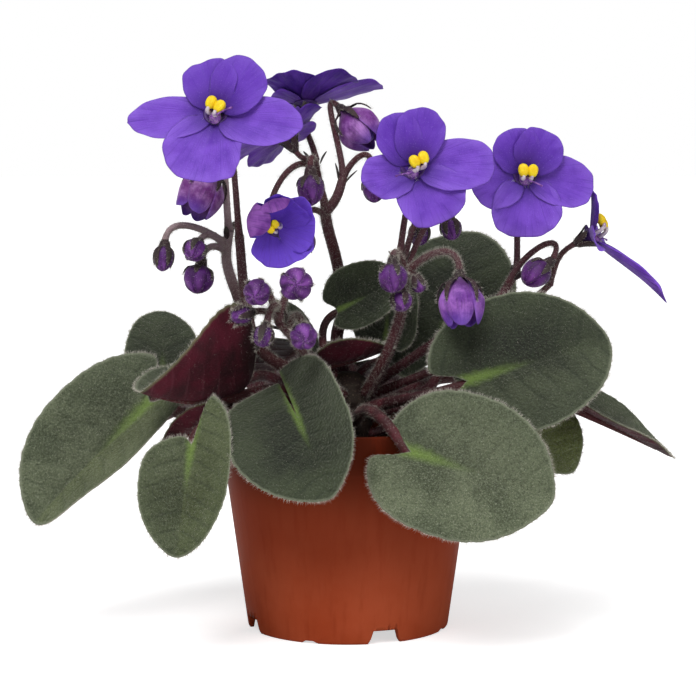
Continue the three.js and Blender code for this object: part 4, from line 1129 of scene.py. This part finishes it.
# at is the bud's middle; aimed is the heading and pitch of its tip; open is how wide the mouth of a parted
# bud is, how far two of its tips turn out, and how pink it is.
BUD = "name at aimed length width"
BUDS = [
    named(BUD, "left_large", (-50, -8, 151), (-140, -60), 17.5, 15.5, open=(0.5, 2.2, 0.9)),
    named(BUD, "top_large", (4, 14, 173), (-30, -42), 17.5, 15, open=(0.3, 0, 0.6)),
    named(BUD, "top_dark", (9, 6, 152), (-70, -80), 9.5, 8),
    named(BUD, "top_hanging", (-13, -4, 152), (-90, -80), 11, 9),
    named(BUD, "left_round", (-51, -14, 122), (-120, -70), 10, 10),
    named(BUD, "centre_left", (-30, -42, 119.5), (-100, -15), 9, 8.5),
    named(BUD, "centre_right", (-17, -44, 122.5), (-88, 2), 10.5, 10.5),
    named(BUD, "centre_low", (-14.5, -46, 105.3), (-86, -16), 9, 8.5),
    named(BUD, "right_round", (15, -24, 123), (-95, -70), 10, 9.5),
    named(BUD, "opening", (38, -26, 115), (-80, -76), 17, 15.5, open=(0.55, 0.6, 0.1)),
    named(BUD, "right_arched", (65, 1, 123), (-160, -35), 11, 9.5),
]
BUD_SIDES = 70


def bud_reach(share):
    """Radius of a bud as a share of half its width: round, fullest before the middle, blunt at the tip."""
    return np.clip(1 - np.abs(2 * np.clip(share, 0, 1) ** 0.82 - 1) ** 2.3, 0.02, 1) ** 0.6


def winding(share, turn):
    """Share of the way across a rolled petal: five go round, unevenly, and wind a little from base to tip."""
    return (5 * turn / (2 * np.pi) + 0.45 * share + 0.12 * np.sin(2 * turn) + 0.1 * np.sin(7 * share)) % 1


def furled(share, turn):
    """Rolled petals: five swells that wind a little round from base to tip. Each rises in a short step from
    a crease and falls away to the next; the creases deepen into a star at the tip."""
    wind = winding(share, turn)
    near = np.minimum(wind, 1 - wind)
    crease = np.exp(-((near / 0.09) ** 2)) * (0.03 + 0.15 * ease(share, 0.5, 0.95))
    step_down = ease(wind, 0.0, 0.14) * (1 - 0.6 * wind) * ease(share, 0.08, 0.4)
    return 0.94 + 0.1 * step_down + 0.05 * np.sin(np.pi * wind) - crease


def bud_shells(bud, look, down_look, seed):
    """A closed bud and the hairs on it."""
    axis = aim(*bud["aimed"])
    length, width = bud["length"], bud["width"]
    start = np.array(bud["at"], float) - axis * length / 2
    share = np.concatenate([np.linspace(0.01, 0.9, 20), [0.94, 0.97, 0.99]])
    turn = all_round(BUD_SIDES)
    profile = np.stack([share * length, bud_reach(share) * width / 2], -1)
    place = wound(share, winding(share[:, None], turn), profile[:, 1])
    body = around_axis(start, axis, profile, BUD_SIDES, look, furled(share[:, None], turn), place)
    random = np.random.default_rng(seed)
    spots = random.integers(1, len(body["points"]) - 1, int(22 * width))
    feet = body["points"][spots]
    out = unit(feet - (start + axis * length * 0.42))
    return [body, hairs(feet - 0.1 * out, out, 1.1, 0.07, down_look, seed + 1, 0.3)]


def opening_shells(bud, look, seed):
    """A bud whose petals have parted: five cupped petals wrapped on an egg, each with one edge over and one
    under its neighbours. A petal is an oval in two shares, up the egg and round it. The egg's radius rises
    as a sine and closes in towards the mouth; the tips of two petals turn out by a square."""
    axis = aim(*bud["aimed"])
    length, width = bud["length"], bud["width"]
    mouth, flare, pink = bud["open"]
    start = np.array(bud["at"], float) - axis * length / 2
    square = square_to(axis, 1.0)
    around = np.linspace(-np.pi, np.pi, 60, endpoint=False)
    share, side = both_faces([*np.linspace(0.06, 0.92, 14), 0.97])
    random = np.random.default_rng(seed)
    c, s = np.cos(around), np.sin(around)

    def wrapped(up, across, turn, turned, off):
        rise = np.sin(np.pi / 2 * np.clip(up / 0.52, 0.1, 1)) ** 0.7
        closing = 1 - (1 - mouth) * np.clip((up - 0.5) / 0.5, 0, 2) ** 2
        keel = 0.55 * np.exp(-((across / 0.22) ** 2)) * ease(up, 0.15, 0.5)
        edge = -0.5 * np.abs(across) ** 3
        radius = width / 2 * 0.93 * rise * closing + 0.5 * across + keel + edge + off
        radius = radius + turned * np.clip((up - 0.62) / 0.38, 0, 2) ** 2
        return about(start, axis, square, length * up, radius, turn + 0.98 * across * (1 - 0.25 * up))

    shells = []
    for k in range(5):
        turn = 2 * np.pi * (k + 0.35) / 5 + random.normal(0, 0.06)
        tall = random.uniform(0.94, 1.0)
        turned = flare * (1.0 if k in (0, 1) else 0.25)
        layer = 0.25 * (k % 2)
        up = 0.5 * tall + 0.5 * tall * share * np.sign(c) * np.abs(c) ** 0.9
        across = share * np.sign(s) * np.abs(s) ** 0.8
        rings = wrapped(up, across, turn, turned, side * 0.27 * np.sqrt(1 - share ** 6) + layer)
        ends = [wrapped(np.array(0.5 * tall), np.array(0.0), turn, turned, end + layer)
                for end in (-0.27, 0.27)]
        place = np.stack([up, 0.5 * across, 10 * up], -1)
        shade = np.stack([share + 0 * up, pink + 0 * up, 0 * up], -1)
        spot, bare = [0.5, 0, 5], [0, pink, 0]
        shells.append(skin(rings, *ends, look, capped(spot, place, spot), capped(bare, shade, bare)))
    core = [(0.02 * length, 1.2), (0.2 * length, 0.26 * width), (0.45 * length, 0.34 * width),
            (0.7 * length, 0.24 * width), (0.84 * length, 0.1 * width)]
    shells.append(around_axis(start, axis, core, 30, look))
    return shells


def bud_skin():
    """Magenta-violet bud petals, with painted shade along every overlapping edge and a pale painted highlight
    on the swell of each petal.
    """
    finish = Finish("bud_skin", 0.55, 0.35, (0.4, 0.35, "#dcc1ea"))
    share, wind, _ = finish.read("place")
    patch, grain = finish.speckle(260, 4, 0.6), finish.speckle(2400, 2, 0.7)
    swell = 0.5 - abs(wind - 0.5)
    # Painted highlight on each petal's swell, towards the tip.
    bright = swell.scaled(0.1, 0.5) * share.scaled(0.35, 0.9, 0, 0.75) * patch.scaled(0.35, 0.6, 0.35, 1)
    # Painted shade in the creases where the petals overlap.
    edge = swell.scaled(0, 0.12, 0.85, 0) * share.scaled(0.1, 0.4) * patch.scaled(0.3, 0.5, 0.5, 1)
    return finish.made(mixed(patch.scaled(0.3, 0.7), "#3d104f", "#5c2378"), (bright, "#9250ae"),
                       (edge, "#200a2b"), (share.scaled(0, 0.4, 0.7, 0), "#2b1030"),
                       (grain.scaled(0.55, 0.75, 0, 0.22), "#9c70b6"),
                       bumps=[(patch, 0.0004), (grain, 0.00012)])


def opening_skin():
    """Backs of parting petals: pinkish lilac that deepens to magenta in the folds, with darker veins."""
    finish = Finish("opening_petals", 0.5, 0.35, (0.35, 0.35, "#e3c6ef"))
    along = finish.read("place")[0]
    share, pink, _ = finish.read("shade")
    patch, grain = finish.speckle(150, 4, 0.6).scaled(0.35, 0.65), finish.speckle(2400, 2, 0.7)
    veins = finish.speckle(1, 3, 0.6, 0.4, (2.5, 30, 0), "place")
    return finish.made(mixed(pink, mixed(patch, "#64298f", "#a868cc"), mixed(patch, "#7c3485", "#c690d6")),
                       (veins.scaled(0.5, 0.66, 0, 0.45), "#3c1253"),
                       (along.scaled(0.62, 1, 0, 0.75), "#5a36b4"), (share.scaled(0.8, 1, 0, 0.3), "#8d62c9"),
                       (along.scaled(0.45, 0.05, 0, 0.7), "#331033"),
                       (grain.scaled(0.58, 0.75, 0, 0.3), "#b793cc"),
                       bumps=[(veins, -0.0002), (grain, 0.00012)])


bud_finishes = [bud_skin(), plant_down]
opening_finishes = [opening_skin()]
for number, bud in enumerate(BUDS):
    if "open" in bud:
        shells, finishes = opening_shells(bud, 0, 500 + 10 * number), opening_finishes
    else:
        shells, finishes = bud_shells(bud, 0, 1, 500 + 10 * number), bud_finishes
    make_piece(bud["name"] + "_bud", shells, finishes, "bud", "bud_" + bud["name"])


# Flower stalks: downy brown-red stems from the crown. Each forks at its top, with a pair of narrow bracts,
# into thin stalks that end in a star of five sepals under a flower or a bud. Tight young buds are one
# with their stalk.

# root is the heading and height where the stem leaves the crown; radius is the stem's radius at its two
# ends, and path the points that it runs through. holds gives what each thin stalk ends at, how far along
# the stem it leaves, and its extra arch, if any; downy scales the hairs and dusty the pale bloom. wrapped
# is the share of a tight bud that its sepals still cover.
STALK, FORK = "name root radius path holds", "radius path holds"
STALKS = [
    named(STALK, "front_flower", (-136, 84), (2.1, 1.6),
          [(-30, -8.5, 97), (-35, -8.5, 114), (-37, -14, 137)], [("front_left", 1)]),
    named(STALK, "left_cluster", (148, 80), (2.1, 1.6),
          [(-30, 4, 96), (-39, 0, 117), (-42, -2, 128), (-41, -4, 138)],
          [("left_large", 1), ("left_drop", 0.88), ("left_upper", 0.85), ("left_round", 0.82)],
          downy=1.4, dusty=0.8),
    named(STALK, "top_cluster", (106, 87), (2.3, 1.9),
          [(-4, 15, 99), (-1.5, 19.5, 111), (-4, 18, 126), (-7.2, 9.5, 139), (-8, 7.5, 144)],
          [("behind_half_open", 0.93)],
          forks=[named(FORK, (1.6, 1.15), [(-8.4, 8, 148), (-10.5, 9, 155.5), (-11.3, 13.2, 162)],
                       [("top_back", 1), ("behind_left", 0.86), ("half_open", 0.8, 7),
                        ("top_hanging", 0.5, 2)]),
                 named(FORK, (1.8, 1.6), [(-5.6, 8, 146.5), (-3.6, 8, 150), (-1.7, 9, 156)],
                       [("top_large", 1), ("top_dark", 0.97, 4)])]),
    named(STALK, "centre_flower", (-8, 81), (1.8, 1.4), [(15, 1, 97), (19, 0, 111), (18, -3, 130)],
          [("centre", 1), ("back_dark", 0.85), ("back_dark_left", 0.9)]),
    named(STALK, "right_flower", (44, 81), (1.8, 1.4), [(30, 7, 98), (50, 4, 111), (59, 7, 123)],
          [("right", 1), ("right_arched", 0.86, 7)]),
    named(STALK, "outer_flower", (16, 80), (1.6, 1.1), [(38, 3, 93), (58, 8, 107), (71, 14, 118)],
          [("outer_right", 1)]),
    named(STALK, "centre_buds", (-100, 81), (1.9, 1.6), [(-12, -13.5, 90), (-17, -23, 101), (-23, -32, 109)],
          [("centre_left", 1), ("centre_right", 1, 3), ("centre_low", 0.85, 4), ("centre_side", 0.8),
           ("centre_small", 0.8, 5)], downy=3.2),
    named(STALK, "right_buds", (-42, 81), (1.65, 1.35), [(13, -9.5, 96), (18, -12, 111), (20, -14, 124)],
          [("opening", 1, 2), ("right_round", 1), ("right_small", 0.9), ("right_tiny", 0.95)], downy=2.6),
]
TIGHT_BUDS = [
    named(BUD, "behind_half_open", (-15, -8, 134), (-90, -80), 8, 7),
    named(BUD, "left_drop", (-63, -12, 129), (-110, -75), 9, 6.5),
    named(BUD, "left_upper", (-52, -18, 132), (-110, -35), 8, 7.5),
    named(BUD, "centre_side", (-35.5, -36, 111.5), (-140, -10), 7.5, 6, wrapped=1.0),
    named(BUD, "centre_small", (-28, -42, 105), (-110, -50), 7.5, 6.5, wrapped=0.95),
    named(BUD, "right_small", (18, -22, 115), (-90, -60), 7, 7),
    named(BUD, "right_tiny", (24, -18, 120), (-70, -50), 5, 4.5),
    named(BUD, "back_dark", (36, 8, 138), (-70, -70), 8, 7),
    named(BUD, "back_dark_left", (25, 10, 136), (-110, -70), 8, 7),
]
CALYX_LENGTH = 2.6
GAP, TIGHT_GAP = 0.3, -0.6  # from the calyx to a flower or bud, and to a tight bud, which runs into it
SEPAL_SPOKES = 20
GREENED, BUD_SKIN = 1, 2


def flowing(points, shares):
    """Smooth curve through the points, at each share of its way: a cubic between each two points whose end
    slopes come from the neighbours, weighted by the square root of their distances."""
    points = np.asarray(points, float)
    points = np.concatenate([[2 * points[0] - points[1]], points, [2 * points[-1] - points[-2]]])
    gaps = np.sqrt(np.linalg.norm(np.diff(points, axis=0), axis=1))[:, None]
    rates = np.diff(points, axis=0) / gaps
    spans = (points[2:] - points[:-2]) / (gaps[1:] + gaps[:-1])
    slopes = rates[:-1] - spans + rates[1:]
    spot = np.clip(shares, 0, 0.999999) * (len(points) - 3)
    k = spot.astype(int)
    t = (spot - k)[:, None]
    start, end = points[k + 1], points[k + 2]
    first, second = slopes[k] * gaps[k + 1], slopes[k + 1] * gaps[k + 1]
    return ((2 * t ** 3 - 3 * t * t + 1) * start + (t ** 3 - 2 * t * t + t) * first
            + (3 * t * t - 2 * t ** 3) * end + (t ** 3 - t * t) * second)


def sepal_skin(foot, axis, turn, length, width, reach, flare):
    """One narrow sepal laid round a bud or a flower's tube: a pointed leaf shape wrapped on a round body
    whose radius at each distance along the axis is reach, and whose tip stands off it by flare."""
    square = square_to(axis, 0.95)
    around = np.linspace(-np.pi, np.pi, SEPAL_SPOKES, endpoint=False)
    share, side = both_faces([0.25, 0.6, 0.88])
    c, s = np.cos(around), np.sin(around)
    a = length * (0.42 + np.where(c > 0, 0.58, 0.42) * c * share)
    b = width / 2 * np.sign(s) * np.abs(s) ** 1.35 * share

    def laid(a, b, off):
        radius = reach(a)
        angle = turn + b / np.maximum(radius, 0.8)
        radius = radius + 0.2 + flare * (a / length) ** 2 + off + 0.25 * (np.abs(b) / width) ** 2
        return about(foot, axis, square, a, radius, angle)

    rings = laid(a, b, side * 0.28 * np.sqrt(1 - share ** 4))
    ends = [laid(np.array(0.42 * length), np.array(0.0), off) for off in (0.28, -0.28)]
    place = np.stack([a / length, b, 0 * a], -1)
    return skin(rings[::-1], *ends, GREENED, capped([0.42, 0, 0], place, [0.42, 0, 0]))


def sepals_shells(foot, axis, length, width, reach, flare, downy, seed):
    """Five sepals and the hairs along their edges."""
    random = np.random.default_rng(seed)
    shells = [sepal_skin(foot, axis, 2 * np.pi * k / 5 + random.normal(0, 0.08),
                         length * random.uniform(0.85, 1.12), width, reach, flare) for k in range(5)]
    edge = slice(1 + 3 * SEPAL_SPOKES, 1 + 4 * SEPAL_SPOKES)
    feet = np.concatenate([shell["points"][edge] for shell in shells])
    count = int(170 * downy)
    feet = feet[random.integers(0, len(feet), count)] + random.normal(0, 0.2, (count, 3))
    out = unit(feet - (foot + axis * ((feet - foot) @ axis)[:, None]))
    return shells + [hairs(feet, out, 1.35, 0.08, DOWN, seed + 1, 0.45)]


def hold_shells(trunk, name, share, arch, downy, dusty, seed):
    """The thin stalk from the stem to one flower or bud, its sepals, its down, and the bud if it is tight."""
    flower = next((item for item in FLOWERS if item["name"] == name), None)
    bud = next((item for item in BUDS + TIGHT_BUDS if item["name"] == name), None)
    tight = bud in TIGHT_BUDS
    gap = TIGHT_GAP if tight else GAP
    if flower:
        axis, _, _, throat = flower_axes(flower)
        end = throat - axis * (TUBE_LENGTH + gap)
    else:
        axis, length, width = aim(*bud["aimed"]), bud["length"], bud["width"]
        end = np.array(bud["at"], float) - axis * (length / 2 + gap)
    start = flowing(trunk, np.array([share]))[0]
    foot = end - axis * CALYX_LENGTH
    span = np.linalg.norm(foot - start)
    first = unit(unit(foot - start) + 0.7 * UP)
    steps = 26
    thick = 1.12 if downy > 1 else 1.0
    path = bezier(start, start + first * span * 0.45 + UP * arch,
                  foot - axis * span * 0.42 + UP * arch, foot + axis * 0.6, steps)
    radii = thick * np.interp(np.linspace(0, 1, steps), [0, 0.12, 0.9, 1], [1.45, 1.12, 0.95, 1.2])
    cup = [(-0.6, 0.9), (0.3, 1.4), (1.3, 1.8), (2.2, 2.0), (2.7, 1.8)]
    shells = [tube(path, radii, 12, 0, (dusty, 1, 0)),
              tube_hairs(path, radii, 18 * downy, 1.15 + 0.15 * downy, 0.065, DOWN, seed),
              around_axis(foot, axis, cup, 18, GREENED)]

    def on_tube(a):
        return 1.35 + 0.22 * a

    def on_bud(a):
        back = CALYX_LENGTH + gap - 0.5
        radius = bud_reach((a - back) / length) * width / 2
        return np.maximum(radius * ease(a, back - 0.3, back + 1.2), 1.4 + 0.1 * a)

    sepals = (6.0, 2.0, on_tube, 1.6)
    if bud:
        cover = bud.get("wrapped", 0.8 if tight else 0.52) * length + 1.8
        sepals = (cover, 2.3 if tight else 2.2, on_bud, 0.2)
    shells += sepals_shells(foot + axis * 0.5, axis, *sepals, downy, seed + 3)
    return shells + bud_shells(bud, BUD_SKIN, DOWN, seed + 5) if tight else shells


def bract_shells(trunk, seed):
    """A pair of small bracts that stand out on either side of the fork at the top of the stem."""
    random = np.random.default_rng(seed)
    top = flowing(trunk, np.array([0.93, 0.97]))
    axis = unit(top[1] - top[0])
    turn = random.uniform(0, np.pi)
    return [sepal_skin(top[0], axis, turn + np.pi * k, 5.5, 1.9, lambda a: 1.2 + 0.35 * a, 0.9)
            for k in range(2)]


stalk_finishes = [stem_skin("stalk_skin", "#3c0f14", "#56343a", "#52242b"),
                  stem_skin("sepal_skin", "#33272a", "#46403a", "#3b1f2a"), bud_finishes[0], plant_down]
for number, stalk in enumerate(STALKS):
    seed = 700 + 40 * number
    downy = stalk.get("downy", 1.0)
    trunk = [root_point(*stalk["root"]), *stalk["path"]]
    branches = [(trunk, stalk)] + [([trunk[-1], *fork["path"]], fork) for fork in stalk.get("forks", [])]
    shells = []
    for points, branch in branches:
        steps = 12 * len(points) - 20
        path = flowing(points, np.linspace(0, 1, steps))
        radii = np.linspace(*branch["radius"], steps)
        dusty = stalk.get("dusty", 0.0)
        shells += [tube(path, radii, 18, 0, (dusty, float(branch is not stalk), 0)),
                   tube_hairs(path, radii, 30 * downy ** 0.5, 1.4, 0.06, DOWN, seed)]
        for name, share, *arch in branch["holds"]:
            seed += 4
            shells += hold_shells(points, name, share, arch[0] if arch else 0, downy, dusty, seed + 10)
        if len(branch["holds"]) > 1:
            shells += bract_shells(points, seed + 2)
    make_piece(stalk["name"] + "_stalk", shells, stalk_finishes, "stalk", "stalk_" + stalk["name"])


# Studio: a plain pale floor and white surroundings, soft light from above and in front, and the camera,
# which looks level at the plant from a little way off.

SKY_LIGHT = 0.2
FLOOR_GLOW = 0.62


def make_floor():
    """Wide flat sheet at floor height, of white paper that glows a little where it is looked at."""
    mesh = bpy.data.meshes.new("floor")
    mesh.from_pydata([(-6, -6, 0), (6, -6, 0), (6, 6, 0), (-6, 6, 0)], [], [(0, 1, 2, 3)])
    finish = Finish("floor_paper", 0.9, 0.1, Emission_Color="#ffffff")
    glow = step(finish.tree, "LightPath", {}) * FLOOR_GLOW
    finish.tree.links.new(glow.socket, finish.shader.inputs["Emission Strength"])
    mesh.materials.append(finish.made(mixed(finish.speckle(300), "#f7f7f7", "#f3f3f3")))
    floor = placed("floor", mesh)


def look_from(thing, place, target):
    """Puts a light or the camera at place, facing target."""
    thing.location = place
    offset = np.array(target) - np.array(place)
    flat = np.hypot(offset[0], offset[1])
    thing.rotation_euler = (np.arctan2(flat, -offset[2]), 0, np.arctan2(-offset[0], offset[1]))


def make_light(name, kind, place, **settings):
    """A soft light aimed at the middle of the plant."""
    lamp = placed(name, bpy.data.lights.new(name, kind))
    for setting, value in settings.items():
        setattr(lamp.data, setting, value)
    look_from(lamp, place, (0, 0, 0.1))


def make_sky():
    """White surroundings: bright to look at, and dimmer as a source of light."""
    world = bpy.data.worlds.new("studio")
    bpy.context.scene.world = world
    world.use_nodes = True
    background = world.node_tree.nodes["Background"]
    strength = step(world.node_tree, "LightPath", {}) * (1.0 - SKY_LIGHT) + SKY_LIGHT
    world.node_tree.links.new(strength.socket, background.inputs["Strength"])
    background.inputs["Color"].default_value = (1, 1, 1, 1)


make_floor()
make_sky()
make_light("key", "AREA", (-0.35, -0.95, 1.15), shape="DISK", size=0.6, energy=8.6)
make_light("fill", "AREA", (0.8, -0.7, 0.45), shape="DISK", size=0.7, energy=2.0)
make_light("overhead", "SUN", (-0.1, -0.3, 1.0), energy=1.45, angle=0.8)

camera = placed("camera", bpy.data.cameras.new("camera"))
camera.data.sensor_width = 36.0
camera.data.lens = 119.6
look_from(camera, (0, -0.8, 0.177), (0, 0, 0.0971))
bpy.context.scene.camera = camera
bpy.context.scene.view_settings.view_transform = "Standard"
